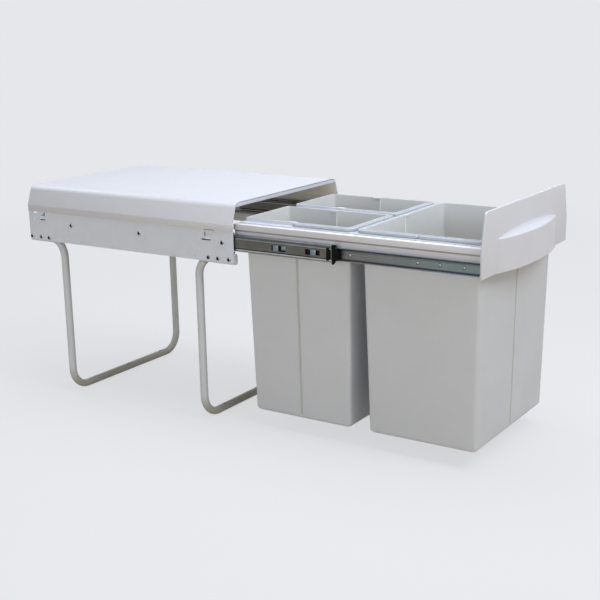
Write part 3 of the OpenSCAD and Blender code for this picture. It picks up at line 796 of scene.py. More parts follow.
# Bands: painted shade at the top under the profile and painted highlight lines along the lower
# edge;
# the tone change from rear to front is a painted reflection.
INNER_RAIL_STEEL = RolledSteel(
    "inner_rail_steel", "rail_steel", (255, 255, 255), (218, 230, 228), 0.36, 0.54,
    span=(480.0, 640.0), rear=(222, 205, 196), front=(221, 222, 218),
    bands=Bands(SLIDE_Z, SLIDE_REACH, (
        (-10.4, (74, 72, 80)), (-9.6, (150, 160, 178)), (-8.9, (140, 148, 160)),
        (-8.3, (116, 116, 126)), (-7.2, (112, 112, 120)), (-6.4, (140, 150, 151)),
        (3.6, (138, 146, 147)), (6.8, (108, 114, 117)), (8.8, (66, 70, 74)),
        (10.4, (130, 134, 138)),
    )),
)
TAB_STEEL = Plating("lanced_tab_steel", "rail_steel", (122, 134, 140), (110, 121, 127), 0.36, 0.54)
# Near-black cages: painted shade in the rails' channels and windows.
CAGE_STEEL = Plating("cage_strip_steel", "cage_steel", (34, 34, 34), (26, 26, 26))
BALL_STEEL = Plating(
    "bearing_steel", "ball_steel", (196, 198, 201), (180, 182, 186), 0.08, 0.16, 60.0, 60.0
)
ZINC = Plating("bright_zinc", "zinc", (176, 178, 180), (140, 142, 143), 0.2, 0.4, 300.0, 300.0)
# Dark mouths and bores of the hollow rivets: painted shade.
MOUTH_SHADE_STEEL = Plating(
    "rivet_mouth_painted_shade", "zinc", (64, 59, 54), (48, 45, 42), 0.4, 0.6, 300.0, 300.0
)
BLACK_PLASTIC = Moulding(
    "black_stop_plastic", "black_plastic", (11, 11, 12), (16, 16, 17), 0.5, 0.62, 1.16
)
PANEL_PLASTIC = Moulding("white_panel_plastic", "white_plastic", (214, 216, 224), (209, 211, 219))
BIN_PLASTIC = Moulding("pale_bin_plastic", "bin_plastic", (211, 217, 227), (204, 210, 220))
# Paler plastic on the inner ribs and their caps: painted highlight.
RIB_HIGHLIGHT_PLASTIC = Moulding(
    "rib_painted_highlight_plastic", "bin_plastic", (251, 252, 254), (246, 248, 250), 0.2, 0.3
)
# Inside faces of the bins: painted shade that deepens towards the floor, lightest at the lip.
INSIDE_SHADE_PLASTIC = Moulding(
    "bin_inside_painted_shade", "bin_plastic", (216, 218, 219), (209, 211, 212),
    bands=Bands(271.5, 100.0, (
        (-99.0, (222, 220, 213)), (20.0, (225, 223, 217)), (55.0, (232, 231, 226)),
        (75.0, (244, 244, 241)), (90.0, (252, 252, 251)), (99.0, (255, 255, 255)),
    )),
)
# Darker plastic in the outer bead grooves: painted shade.
GROOVE_SHADE_PLASTIC = Moulding("bead_groove_painted_shade", "bin_plastic", (190, 193, 193), (184, 187, 187))
BAIL_PLASTIC = Moulding(
    "pale_bail_plastic", "bail_plastic", (185, 192, 201), (177, 184, 194), 0.24, 0.34
)

KEPT_NODES: dict[Finish, tuple[str, ...]] = {
    PLATE_PAINT: both("side_plate"),
    GREY_PAINT: ("rear_leg", "front_leg"),
    BAR_PAINT: ("rear_crossbar", "middle_crossbar", "front_crossbar"),
    OUTER_RAIL_STEEL: both("outer_rail"),
    MIDDLE_RAIL_STEEL: both("middle_rail"),
    INNER_RAIL_STEEL: both("inner_rail"),
    CAGE_STEEL: both("outer_cage") + both("inner_cage"),
    BALL_STEEL: both("outer_balls") + both("inner_balls"),
    ZINC: ("panel_screws",),
}


def dress_kept_nodes(nodes: dict[str, bpy.types.Object]) -> None:
    """Gives the solids that stay as they are their finishes.

    Args:
        nodes: The frame's solids by name.
    """
    for finish, names in KEPT_NODES.items():
        for name in names:
            data = nodes[name].data
            data.materials.clear()
            data.materials.append(finish.material())
            LOG.info("%s: kept in %s", name, finish.name)


@dataclass
class Cover:
    """The bent sheet over the fixed frame, with its front lip and its hook tabs."""

    lean: float = 12.7
    slope_h: float = 36.0
    skirt_h: float = 12.0
    corner_r: float = 14.0
    corner_steps: int = 10
    kink_r: float = 6.0
    kink_steps: int = 3
    sheet: float = 1.2
    lip_h: float = 7.0
    hook_root: float = 22.0
    hook_tip: float = 12.0
    hook_back: float = 49.0
    hook_r: float = 1.5
    under_normal: float = -0.1

    def build(self) -> None:
        """Builds the cover in place of its solid."""
        self.low, self.high = node_box("top_cover")
        self.half = self.high.y
        self.kink_z = self.high.z - self.slope_h
        self.slope = math.atan2(self.lean, self.slope_h)
        self.corner_reach = self.corner_r * math.tan((math.pi / 2 - self.slope) / 2)
        self.section = mirrored([
            (-self.half, self.kink_z - self.skirt_h), (-self.half, self.kink_z),
            (-self.half + self.lean, self.high.z),
        ])
        cover = self.bent_sheet()
        # Faces that look down take the warmer copy of the coat: painted warm shade.
        cover.mark(lambda place, normal: normal.z < self.under_normal)
        cover.take(self.front_lip())
        for side in Side:
            cover.take(self.hook(side))
        cover.finish("cover_sheet", "frame", WHITE_PAINT, ["top_cover"], [UNDERSIDE_SHADE_PAINT])

    def bent_sheet(self) -> Blank:
        """Bends the sheet over the frame.

        Returns:
            The sheet with its thickness.
        """
        sheet = Blank()
        path = sheet.wire([(self.low.x, y, z) for y, z in self.section])
        sheet.sweep(path, (self.high.x - self.low.x, 0, 0))
        crown = sheet.pick(lambda p: p.z > self.high.z - NEAR, sharp=20)
        sheet.bevel(crown, self.corner_reach, self.corner_steps)
        kink = sheet.pick(lambda p: abs(p.z - self.kink_z) < NEAR, sharp=10)
        sheet.bevel(kink, self.kink_r * math.tan(self.slope / 2), self.kink_steps)
        sheet.thicken(self.sheet)
        sheet.soften(self.sheet * EDGE_BREAK)
        return sheet

    def front_lip(self) -> Blank:
        """Makes the lip that is folded down along the front edge.

        Returns:
            The lip with its thickness.
        """
        lip = Blank()
        lip.face([(self.high.x, y, z) for y, z in self.section])
        crown = lip.corners(lambda p: p.z > self.high.z - NEAR)
        lip.bevel(crown, self.corner_reach, self.corner_steps, Rounded.CORNERS)
        lip.cut((0, 0, self.high.z - self.lip_h), (0, 0, -1), clear=True)
        lip.slab((-self.sheet, 0, 0))
        lip.soften(self.sheet * EDGE_BREAK)
        return lip

    def hook(self, side: Side) -> Blank:
        """Makes the tab of one skirt that hooks into the side plate.

        Args:
            side: Side of the frame.

        Returns:
            The tab with its thickness.
        """
        middle, y = self.high.x - self.hook_back, side.value * self.half
        root, tip = self.hook_root / 2, self.hook_tip / 2
        top = self.kink_z - self.skirt_h + self.sheet
        tab = Blank()
        tab.face([
            (middle - root, y, top), (middle - tip, y, self.low.z),
            (middle + tip, y, self.low.z), (middle + root, y, top),
        ])
        tab.slab((0, -side.value * self.sheet, 0))
        foot = tab.pick(lambda p: p.z < self.low.z + NEAR and abs(p.x - middle) > NEAR, sharp=40)
        tab.bevel(foot, self.hook_r, segments=3)
        return tab


@dataclass
class SideProfiles:
    """The two folded profiles that join the slides and carry the bin rims."""

    sheet: float = 1.2
    step: float = 4.0
    band_h: float = 10.0
    flange: float = 13.0
    fold_r: float = 0.7

    def build(self) -> None:
        """Builds both profiles in place of their solids."""
        for side in Side:
            name, nodes = side.node("folded_profile"), [side.node("side_profile")]
            self.profile(side).finish(name, "carriage", PROFILE_PAINT, nodes)

    def profile(self, side: Side) -> Blank:
        """Folds one profile.

        Args:
            side: Side of the frame.

        Returns:
            The profile with its thickness.
        """
        low, high = node_box(side.node("side_profile"))
        out = side.value * max(abs(low.y), abs(high.y))
        web, flange = out - side.value * self.step, out - side.value * self.flange
        band = high.z - self.band_h
        path = [(web, low.z), (web, band), (out, band), (out, high.z), (flange, high.z)]
        sheet = Blank()
        sheet.sweep(sheet.wire([(low.x, y, z) for y, z in path]), (high.x - low.x, 0, 0))
        sheet.soften(self.fold_r, segments=4, sharp=30)
        sheet.thicken(self.sheet)
        sheet.soften(self.sheet * EDGE_BREAK)
        return sheet


@dataclass
class FrontPanel:
    """The moulded front panel with its hollow bowed handle."""

    plate_t: float = 4.0
    lean: float = 12.0
    slope_h: float = 56.0
    corner_r: float = 6.0
    foot_r: float = 2.4
    bow_w: float = 236.0
    bow_depth: float = 18.5
    bow_power: float = 0.75
    bow_least: float = 0.004
    bow_sink: float = 0.5
    bow_draft: float = 3.0
    bow_h: float = 52.0
    bow_rise: float = 12.0
    bow_break: float = 0.7
    bow_steps: int = 48
    ledge_power: float = 0.67
    wall: float = 2.6
    edge_r: float = 1.2
    front: tuple[float, ...] = (0.013, 0.05, 0.3, 0.65, 0.92)
    ledge: tuple[Pair, ...] = (
        (0.0, 0.0), (0.19, 0.03), (0.38, 0.07), (0.53, 0.13), (0.66, 0.21), (0.76, 0.32),
        (0.85, 0.47), (0.93, 0.64), (0.98, 0.83), (1.0, 1.0),
    )

    def build(self) -> None:
        """Builds the panel in place of its solid."""
        self.low, self.high = node_box("front_panel")
        self.root = self.low.x + self.plate_t - self.bow_sink
        self.edge_z = self.low.z + self.bow_h
        panel = self.plate()
        panel.take(self.bow())
        panel.finish("moulded_front_panel", "carriage", PANEL_PLASTIC, ["front_panel"])

    def plate(self) -> Blank:
        """Makes the plate.

        Returns:
            The plate with rounded corners and edges.
        """
        half, kink = self.high.y, self.high.z - self.slope_h
        left = [(-half, self.low.z), (-half, kink), (-half + self.lean, self.high.z)]
        plate = Blank()
        plate.face([(self.low.x, y, z) for y, z in mirrored(left)])
        top = plate.corners(lambda p: p.z > self.high.z - NEAR)
        plate.bevel(top, self.corner_r, 8, Rounded.CORNERS)
        foot = plate.corners(lambda p: p.z < self.low.z + NEAR)
        plate.bevel(foot, self.foot_r, 4, Rounded.CORNERS)
        plate.slab((self.plate_t, 0, 0))
        plate.soften(self.edge_r, segments=3)
        return plate

    def swell(self, y: float) -> float:
        """Share of its full depth that the bow has at a place: an arc with blunt ends."""
        return max(1 - (2 * y / self.bow_w) ** 2, self.bow_least) ** self.bow_power

    def bow(self) -> Blank:
        """Makes the hollow bow that the panel is pulled by; it runs out flush with the plate.

        Returns:
            The bow with its wall, open below.
        """
        ends, tip = self.bow_w / 2, self.root + self.bow_depth + self.bow_sink
        brow = tip - self.bow_draft - self.root
        path = [(tip - self.bow_break, self.low.z)]
        path += [(tip - at * self.bow_draft, self.low.z + at * self.bow_h) for at in self.front]
        path += [
            (self.root + brow * (1 - at), self.edge_z + rise * self.bow_rise)
            for at, rise in self.ledge
        ]
        bow = Blank()
        bow.wire([(x, -ends, z) for x, z in path])
        corner = Vector((self.root + brow, -ends, self.edge_z)) * MM
        nearest = min(bow.mesh.verts, key=lambda vert: (vert.co - corner).length)
        bow.bevel([nearest], self.edge_r, 4, Rounded.CORNERS)
        edges = bow.mesh.edges[:]
        self.squeeze(bow, edges, self.swell(ends))
        turns = range(-self.bow_steps, self.bow_steps + 1)
        stations = [ends * math.sin(math.pi / 2 * turn / self.bow_steps) for turn in turns]
        for last, y in zip(stations, stations[1:]):
            edges = bow.sweep(edges, (0, y - last, 0))
            self.squeeze(bow, edges, self.swell(y) / self.swell(last))
        bow.thicken(self.wall)
        return bow

    def squeeze(self, bow: Blank, edges: Sequence[BMEdge], ratio: float) -> None:
        """Draws one section of the bow towards the plate or away from it.

        Args:
            bow: The bow under construction.
            edges: The section.
            ratio: How much deeper the section gets.
        """
        verts = list({vert for edge in edges for vert in edge.verts})
        upper = [vert for vert in verts if vert.co.z > self.edge_z * MM]
        place = Matrix.Translation(Vector((-self.root, 0, -self.edge_z)) * MM)
        bmesh.ops.scale(bow.mesh, verts=verts, vec=(ratio, 1, 1), space=place)
        bmesh.ops.scale(bow.mesh, verts=upper, vec=(1, 1, ratio ** self.ledge_power), space=place)


class BinFace(Enum):
    """Faces of a bin with a finish of their own; the value is the accent's number."""

    RIB = 1
    INSIDE = 2
    GROOVE = 3


@dataclass
class Bin:
    """A tapered bin with a rolled foot, a flanged rim, a raised lip and pressed upright beads."""

    node: str
    rear_rim: float
    bead_on_x: bool
    lugs: bool = False
    rim: float = 10.0
    rim_t: float = 2.5
    rim_r: float = 0.6
    lip_h: float = 8.5
    lip_r: float = 0.7
    taper: float = 6.8
    wall: float = 2.0
    corner_r: float = 6.0
    foot: float = 7.0
    foot_steps: int = 4
    inner_gap: float = 1.2
    inner_rise: float = 1.8
    bead_w: float = 2.3
    bead_depth: float = 1.8
    bead_cuts: tuple[float, ...] = (-1.0, -0.5, 0.0, 0.5, 1.0)
    bead_form: tuple[Pair, ...] = ((0.0, 1.0), (0.5, 0.72))
    bead_line: float = 0.05
    bead_foot: float = -0.5
    bead_top: float = 0.3
    bead_out: float = 0.7
    rib: float = 2.6
    rib_top: float = 1.0
    cap: Point = (15.0, 1.2, 3.0)
    cap_sink: float = 0.4
    cap_rise: float = 0.5
    cap_r: float = 0.6
    lug_reach: float = 3.0
    lug_half: float = 4.0
    lug_r: float = 0.5

    def build(self) -> None:
        """Builds the bin in place of its solid."""
        self.low, self.high = node_box(self.node)
        reach = self.lug_reach if self.lugs else 0.0
        self.rim_low = Vector((self.low.x, self.low.y + reach))
        self.rim_high = Vector((self.high.x, self.high.y - reach))
        self.rim_z = self.high.z - self.lip_h
        self.bead_z = self.low.z + self.foot + self.bead_foot
        wall_low, wall_high = self.wall_rect(0)
        self.middle, self.half = (wall_low + wall_high) / 2, (wall_high - wall_low) / 2
        self.across, self.along = (1, 0) if self.bead_on_x else (0, 1)
        shell = self.shell()
        # The inside faces take the inside accent, with painted shade deepening downwards.
        shell.mark(lambda place, normal: self.inside(place), BinFace.INSIDE.value)
        self.press_beads(shell)
        self.mark_beads(shell)
        for way in (-1, 1):
            shell.take(self.bead_cap(way))
        if self.lugs:
            for side in Side:
                shell.take(self.lug(side))
        accents = [RIB_HIGHLIGHT_PLASTIC, INSIDE_SHADE_PLASTIC, GROOVE_SHADE_PLASTIC]
        shell.finish(f"moulded_{self.node}", self.node, BIN_PLASTIC, [self.node], accents)

    def wall_rect(self, inset: float) -> tuple[Vector, Vector]:
        """Lowest and highest corners of the walls at the rim, drawn in on every side."""
        low = self.rim_low + Vector((self.rear_rim + inset, self.rim + inset))
        return low, self.rim_high - Vector((self.rim + inset, self.rim + inset))

    def draw(self, z: float) -> float:
        """How far the taper draws the walls in at a height."""
        return self.taper * (self.rim_z - z) / (self.rim_z - self.low.z)

    def inside(self, place: Vector) -> bool:
        """Tells the inner side of the shell from the outer one.

        Args:
            place: A place on the shell.

        Returns:
            True past the middle of the wall or the floor.
        """
        start = self.corner_r + max(self.draw(place.z), 0)
        over = [
            max(abs(place[axis] - self.middle[axis]) - self.half[axis] + start, 0)
            for axis in (0, 1)
        ]
        rise = min(max(place.z - self.low.z, 0), self.foot)
        roll = self.foot - math.sqrt(self.foot ** 2 - (self.foot - rise) ** 2)
        gap = self.corner_r - math.hypot(*over) - roll
        return gap > self.inner_gap and place.z > self.low.z + self.inner_rise

    def rings(self) -> list[tuple[tuple[Vector, Vector], float]]:
        """Lists the rings of the shell, from the outer foot over the rim to the inner foot.

        Returns:
            Rectangle and height of each ring.
        """
        turns = [math.pi / 2 * step / self.foot_steps for step in range(self.foot_steps + 1)]
        foot = [
            (self.taper + self.foot * (1 - math.sin(turn)), self.foot * (1 - math.cos(turn)))
            for turn in turns
        ]
        outside, inside = (
            [(self.wall_rect(inset + wall), self.low.z + wall + rise) for inset, rise in foot]
            for wall in (0, self.wall)
        )
        rim, rim_top = (self.rim_low, self.rim_high), self.rim_z + self.rim_t
        wall = self.wall_rect(0)
        return [
            *outside, (wall, self.rim_z), (rim, self.rim_z), (rim, rim_top), (wall, rim_top),
            (wall, self.high.z), (self.wall_rect(self.wall), self.high.z), *reversed(inside),
        ]

    def shell(self) -> Blank:
        """Moulds the bin from its foot over the rim and down inside.

        Returns:
            The closed shell with rounded rim edges.
        """
        shell = Blank()
        rings = self.rings()
        (low, high), z = rings[0]
        floor = [(low.x, low.y, z), (low.x, high.y, z), (high.x, high.y, z), (high.x, low.y, z)]
        shell.bevel(shell.face(floor).verts, self.corner_r, 8, Rounded.CORNERS)
        edges = shell.mesh.edges[:]
        for (old, old_z), (new, new_z) in zip(rings, rings[1:]):
            edges = shell.sweep(edges, (0, 0, new_z - old_z))
            self.spread(shell, edges, old, new)
        bmesh.ops.edgeloop_fill(shell.mesh, edges=edges)
        shell.seal()
        lip, rim = self.high.z - NEAR, (self.rim_z - NEAR, self.rim_z + self.rim_t + NEAR)
        shell.bevel(shell.pick(lambda p: p.z > lip, sharp=50), self.lip_r, segments=3)
        edges = shell.pick(lambda p: rim[0] < p.z < rim[1], sharp=50)
        shell.bevel(edges, self.rim_r, segments=3)
        return shell

    def spread(
        self, shell: Blank, edges: Sequence[BMEdge],
        old: tuple[Vector, Vector], new: tuple[Vector, Vector],
    ) -> None:
        """Moves the four corners of a ring to a new rectangle.

        Args:
            shell: The shell under construction.
            edges: The ring.
            old: Lowest and highest corners that the ring has.
            new: Lowest and highest corners that it gets.
        """
        middle = (old[0] + old[1]) / 2 * MM
        verts = {vert for edge in edges for vert in edge.verts}
        for right, back in ((0, 0), (0, 1), (1, 0), (1, 1)):
            corner = [
                v for v in verts if (v.co.x > middle.x) == right and (v.co.y > middle.y) == back
            ]
            move = Vector((new[right].x - old[right].x, new[back].y - old[back].y, 0))
            bmesh.ops.translate(shell.mesh, verts=corner, vec=move * MM)

    def press_beads(self, shell: Blank) -> None:
        """Presses an upright bead into the middle of two opposite walls.

        Args:
            shell: The bin's shell.
        """
        for share in self.bead_cuts:
            place = self.middle[self.across] + share * self.bead_w
            shell.cut(axis_vector(self.across, place), axis_vector(self.across))
        for way in (-1, 1):
            for share, depth in self.bead_form:
                line = shell.corners(lambda place: self.on_line(place, way, share))
                move = axis_vector(self.along, -way * self.bead_depth * depth * MM)
                bmesh.ops.translate(shell.mesh, verts=line, vec=move)

    def on_line(self, place: Vector, way: int, share: float) -> bool:
        """Tells the points of one pressed line of a bead.

        Args:
            place: A point of the shell.
            way: Side of the bin that the bead is on.
            share: Where the line lies, as a share of half the bead's width.

        Returns:
            True on the line, on either side of the bead's middle.
        """
        aside = abs(place[self.across] - self.middle[self.across])
        out = way * (place[self.along] - self.middle[self.along]) - self.half[self.along]
        return (
            abs(aside - share * self.bead_w) < self.bead_line
            and self.bead_z < place.z < self.rim_z + self.bead_top
            and -self.taper - self.foot < out < self.bead_out
        )

    def depth(self, place: Vector) -> float:
        """Depth of a place under the outer face of a beaded wall."""
        aside = abs(place[self.along] - self.middle[self.along])
        return self.half[self.along] - self.draw(place.z) - aside

    def on_bead(self, place: Vector, top: float) -> bool:
        """Whether a place lies on the line of a bead, below a height."""
        aside = abs(place[self.across] - self.middle[self.across])
        return aside < self.bead_w and self.bead_z < place.z < top

    def mark_beads(self, shell: Blank) -> None:
        """Marks the beads' outer grooves for painted shade and their inner ribs for a painted
        highlight.

        Args:
            shell: The bin's shell.
        """
        def groove(place: Vector, normal: Vector) -> bool:
            """Whether a place lies in the outer groove of a bead."""
            return self.on_bead(place, self.rim_z) and abs(self.depth(place)) < self.wall

        def rib(place: Vector, normal: Vector) -> bool:
            """Whether a place lies on the inner rib of a bead."""
            depth = self.depth(place) - self.rib
            return self.on_bead(place, self.high.z - self.rib_top) and 0 < depth < self.bead_depth

        shell.mark(groove, BinFace.GROOVE.value)
        shell.mark(rib, BinFace.RIB.value)

    def bead_cap(self, way: int) -> Blank:
        """Makes the short cap that runs from a bead's top along the inside of the lip.

        Args:
            way: Side of the bin that the bead is on.

        Returns:
            The cap.
        """
        length, reach, height = self.cap
        before, after = (self.bead_w, length) if self.bead_on_x else (length, self.bead_w)
        middle = self.middle[self.across]
        inner = self.middle[self.along] + way * (self.half[self.along] - self.wall)
        low, high = [0.0, 0.0, self.high.z - height], [0.0, 0.0, self.high.z + self.cap_rise]
        low[self.across], high[self.across] = middle - before, middle + after
        low[self.along], high[self.along] = sorted(
            (inner + way * self.cap_sink, inner - way * reach)
        )
        cap = Blank()
        cap.block(low, high)
        cap.soften(self.cap_r, segments=3)
        # The cap takes the rib's pale accent: painted highlight.
        cap.mark(lambda place, normal: True, BinFace.RIB.value)
        return cap

    def lug(self, side: Side) -> Blank:
        """Makes the pointed lug on the rim beside the bail pivots.

        Args:
            side: Side of the bin.

        Returns:
            The lug.
        """
        x, out = self.middle.x, side.value
        edge = self.rim_high.y if side is Side.RIGHT else self.rim_low.y
        corners = [
            (x - self.lug_half, edge - out), (x - self.lug_half, edge),
            (x, edge + out * self.lug_reach),
            (x + self.lug_half, edge), (x + self.lug_half, edge - out),
        ]
        lug = Blank()
        lug.face([(*corner, self.rim_z) for corner in corners])
        lug.slab((0, 0, self.rim_t))
        lug.soften(self.lug_r)
        return lug


@dataclass
class Bail:
    """A bin's lifting bail: a flat strip round half of the rim with round ends on pegs."""

    node: str
    way: int
    strip: float = 7.0
    corner_r: float = 7.2
    end_share: float = 0.96
    peg_r: float = 1.5
    peg_root: float = 1.0
    peg_reach: float = 3.2
    peg_steps: int = 20
    edge_r: float = 1.3

    def build(self) -> None:
        """Builds the bail in place of its solid."""
        low, high = node_box(self.node)
        middle, half_h = (low + high) / 2, (high.z - low.z) / 2
        end, tip = (low.x, high.x) if self.way > 0 else (high.x, low.x)
        tip -= self.way * self.strip
        near, far = low.y + self.strip, high.y - self.strip
        bail = Blank()
        path = ((end, near), (tip, near), (tip, far), (end, far))
        bail.sweep(bail.wire([(*point, low.z) for point in path]), (0, 0, high.z - low.z))
        bends = bail.pick(lambda p: abs(p.x - tip) < NEAR and abs(p.z - middle.z) < NEAR, sharp=40)
        bail.bevel(bends, self.corner_r, segments=8)
        bail.seal()
        outer = max(bail.mesh.faces, key=lambda face: self.way * face.calc_center_median().x)
        bail.thicken(self.strip if self.way * outer.normal.x < 0 else -self.strip)
        bail.seal()
        ends = bail.pick(lambda p: abs(p.x - end) < NEAR and abs(p.z - middle.z) > NEAR, sharp=50)
        bail.bevel(ends, half_h * self.end_share, segments=6)
        bail.soften(self.edge_r, segments=3)
        peg = [
            (0, -self.peg_root), (self.peg_r, -self.peg_root),
            (self.peg_r, self.peg_reach), (0, self.peg_reach),
        ]
        for side, inner in ((Side.LEFT, near), (Side.RIGHT, far)):
            seat = (end + self.way * half_h, inner, middle.z)
            bail.turn(peg, seat, (0, -side.value, 0), self.peg_steps)
        bail.seal()
        bail.finish(f"moulded_{self.node}", self.node, BAIL_PLASTIC, [self.node])


@dataclass
class Fasteners:
    """Rivets and screws of the side plates and the inner rails."""

    plate_t: float = 1.2
    head_r: float = 4.0
    head_h: float = 1.8
    head_turn: tuple[float, int] = (50.0, 5)
    bore_r: float = 1.4
    bore_taper: float = 0.8
    bore_depth: float = 2.2
    mouth_r: float = 2.4
    shank_r: float = 2.0
    rivet_sides: int = 28
    rear_rivets: tuple[float, ...] = (5.0, 29.0, 49.0)
    front_rivets: tuple[float, ...] = (10.0, 33.0, 53.0)
    rivet_rise: float = 6.5
    rivet_grip: float = 11.2
    rivet_tail: float = 1.0
    slide_screws: tuple[float, ...] = (108.0, 272.0, 455.0)
    slide_rise: float = 34.5
    slide_grip: float = 2.4
    rail_screws: tuple[float, ...] = (26.0, 66.0, 104.0, 223.0)
    rail_t: float = 1.2
    rail_head_r: float = 3.2
    rail_head_turn: tuple[float, int] = (66.0, 6)
    rail_grip: float = 3.8
    cross_arm: float = 0.36
    cross_slot: float = 0.1
    cross_depth: float = 0.6
    crown_play: float = 0.01

    def build(self) -> None:
        """Builds all fasteners in place of their solids."""
        low, high = node_box("left_side_plate")
        rail_low, rail_high = node_box("left_inner_rail")
        rail_z = (rail_low.z + rail_high.z) / 2
        rivet_x = [low.x + x for x in self.rear_rivets] + [high.x - x for x in self.front_rivets]
        rivets, screws, rail = Blank(), Blank(), Blank()
        for side in Side:
            face = side.value * (abs(high.y) + self.plate_t)
            for x in rivet_x:
                seat = (x, face, low.z + self.rivet_rise)
                self.rivet(rivets, seat, side, self.rivet_grip, self.rivet_tail)
            for x in self.slide_screws:
                seat = (low.x + x, face, low.z + self.slide_rise)
                self.rivet(screws, seat, side, self.slide_grip)
            face = side.value * (abs(rail_high.y) + self.rail_t)
            for x in self.rail_screws:
                self.screw(rail, (rail_high.x - x, face, rail_z), side)
        rivets.seal()
        rivets.finish("hollow_leg_rivets", "frame", ZINC, ["leg_rivets"], [MOUTH_SHADE_STEEL])
        screws.seal()
        screws.finish("hollow_slide_screws", "frame", ZINC, ["slide_screws"], [MOUTH_SHADE_STEEL])
        rail.finish("pan_rail_screws", "carriage", ZINC, ["rail_screws"])

    def dome(self, radius: float, crown: float, steps: int) -> list[Pair]:
        """Draws the half-section of a domed head.

        Args:
            radius: Radius of the head.
            crown: Angle of the crown's edge above the seat, in degrees.
            steps: Steps of the rounding.

        Returns:
            Radius and height of each corner, from the crown's edge down to the seat.
        """
        angles = [math.radians(crown * step / steps) for step in range(steps, -1, -1)]
        scale = self.head_h / math.sin(angles[0])
        return [(radius * math.cos(angle), scale * math.sin(angle)) for angle in angles]

    def rivet(
        self, blank: Blank, seat: Point, side: Side, grip: float, tail: float = 0.0
    ) -> None:
        """Turns one hollow rivet: a rolled rim round a tapered mouth, a blind bore and a shank.

        Args:
            blank: Workpiece to add it to.
            seat: Where the head sits on the plate.
            side: Side of the frame.
            grip: Length of the shank.
            tail: Height of the upset tail, nought for none.
        """
        end, shank = -grip - tail, [(self.shank_r, 0), (self.shank_r, -grip)]
        if tail:
            shank += [(self.shank_r + tail, -grip), (self.shank_r, end)]
        bore = [
            (0, -self.bore_depth), (self.bore_r * self.bore_taper, -self.bore_depth),
            (self.bore_r, 0.0),
        ]
        head = self.dome(self.head_r, *self.head_turn)
        one = Blank()
        one.turn([*bore, *head, *shank, (0, end)], seat, (0, side.value, 0), self.rivet_sides)

        def in_mouth(place: Vector, normal: Vector) -> bool:
            """Whether a place lies in the rivet's mouth or its bore."""
            off = place - Vector(seat)
            return off.xz.length < self.mouth_r and side.value * off.y > -self.bore_depth - NEAR

        # The mouth and the bore take the dark accent: painted shade in the hollow.
        one.mark(in_mouth)
        blank.take(one)

    def crown(self, screw: Blank, top: float) -> list[BMFace]:
        """Faces of a screw's flat crown."""
        level = set(screw.corners(lambda p: abs(p.y - top) < self.crown_play))
        return [face for face in screw.mesh.faces if level.issuperset(face.verts)]

    def screw(self, blank: Blank, seat: Point, side: Side) -> None:
        """Turns one rail screw and presses a cross recess into its head.

        Args:
            blank: Workpiece to add it to.
            seat: Where the head sits.
            side: Side of the frame.
        """
        head = self.dome(self.rail_head_r, *self.rail_head_turn)
        shank = [(self.shank_r, 0), (self.shank_r, -self.rail_grip), (0, -self.rail_grip)]
        one = Blank()
        one.turn([(0, self.head_h), *head, *shank], seat, (0, side.value, 0))
        one.seal()
        top = seat[1] + side.value * self.head_h
        bmesh.ops.dissolve_faces(one.mesh, faces=self.crown(one, top), use_verts=True)
        arm, slot = self.rail_head_r * self.cross_arm, self.rail_head_r * self.cross_slot
        for axis in (0, 2):
            for offset in (-arm, -slot, slot, arm):
                place = Vector(seat) + axis_vector(axis, offset)
                one.cut(place, axis_vector(axis), self.crown(one, top))
        cross = []
        for face in self.crown(one, top):
            off = face.calc_center_median() / MM - Vector(seat)
            near, far = sorted((abs(off.x), abs(off.z)))
            if near < slot and far < arm:
                cross.append(face)
        one.grow(cross, (0, -side.value * self.head_h * self.cross_depth, 0))
        bmesh.ops.recalc_face_normals(one.mesh, faces=one.mesh.faces[:])
        blank.take(one)


@dataclass
class EndStops:
    """The black stops on the front ends of the middle rails, each with a pad behind it."""

    back: float = 15.0
    pad_l: float = 8.6
    pad_gap: float = 2.2
    pad_sink: float = 0.3
    thin: float = 2.0
    edge_r: float = 0.5
    outline: tuple[Pair, ...] = (
        (0.0, -16.2), (3.2, -16.2), (6.8, -12.2), (7.2, -9.8), (10.0, -9.2), (12.2, -6.2),
        (12.8, -2.0), (12.8, 2.6), (12.0, 6.2), (9.8, 9.0), (6.6, 10.0), (6.4, 11.2),
        (8.6, 12.2), (9.0, 14.4), (7.2, 16.2), (0.0, 16.2),
    )
    pad_outline: tuple[Pair, ...] = (
        (0.0, -10.4), (4.6, -10.4), (5.6, -7.4), (8.6, -5.4), (8.6, 2.4), (6.2, 4.4),
        (6.0, 7.2), (4.0, 10.4), (0.6, 10.4),
    )

    def build(self) -> None:
        """Builds both stops in place of their solids."""
        for side in Side:
            node = side.node("end_stop")
            low, high = node_box(node)
            outer, inner = (low.y, high.y) if side is Side.LEFT else (high.y, low.y)
            self.middle = (low.z + high.z) / 2
            foot_x = high.x - self.back
            pad_x = foot_x - self.pad_gap - self.pad_l
            pad_outer, thinned = outer - side.value * self.pad_sink, inner + side.value * self.thin
            stop = self.plate(self.outline, foot_x, outer, thinned)
            stop.take(self.plate(self.pad_outline, pad_x, pad_outer, inner))
            stop.finish(side.node("black_stop"), side.node("middle"), BLACK_PLASTIC, [node])

    def plate(self, outline: Sequence[Pair], x: float, outer: float, inner: float) -> Blank:
        """Cuts one plate across the slide.

        Args:
            outline: Corners along X and Z, the heights from the slide's middle.
            x: Where the outline starts.
            outer: Its outer face.
            inner: Its inner face.

        Returns:
            The plate with soft edges.
        """
        plate = Blank()
        plate.face([(x + along, outer, self.middle + up) for along, up in outline])
        plate.slab((0, inner - outer, 0))
        plate.soften(self.edge_r, sharp=60)
        return plate


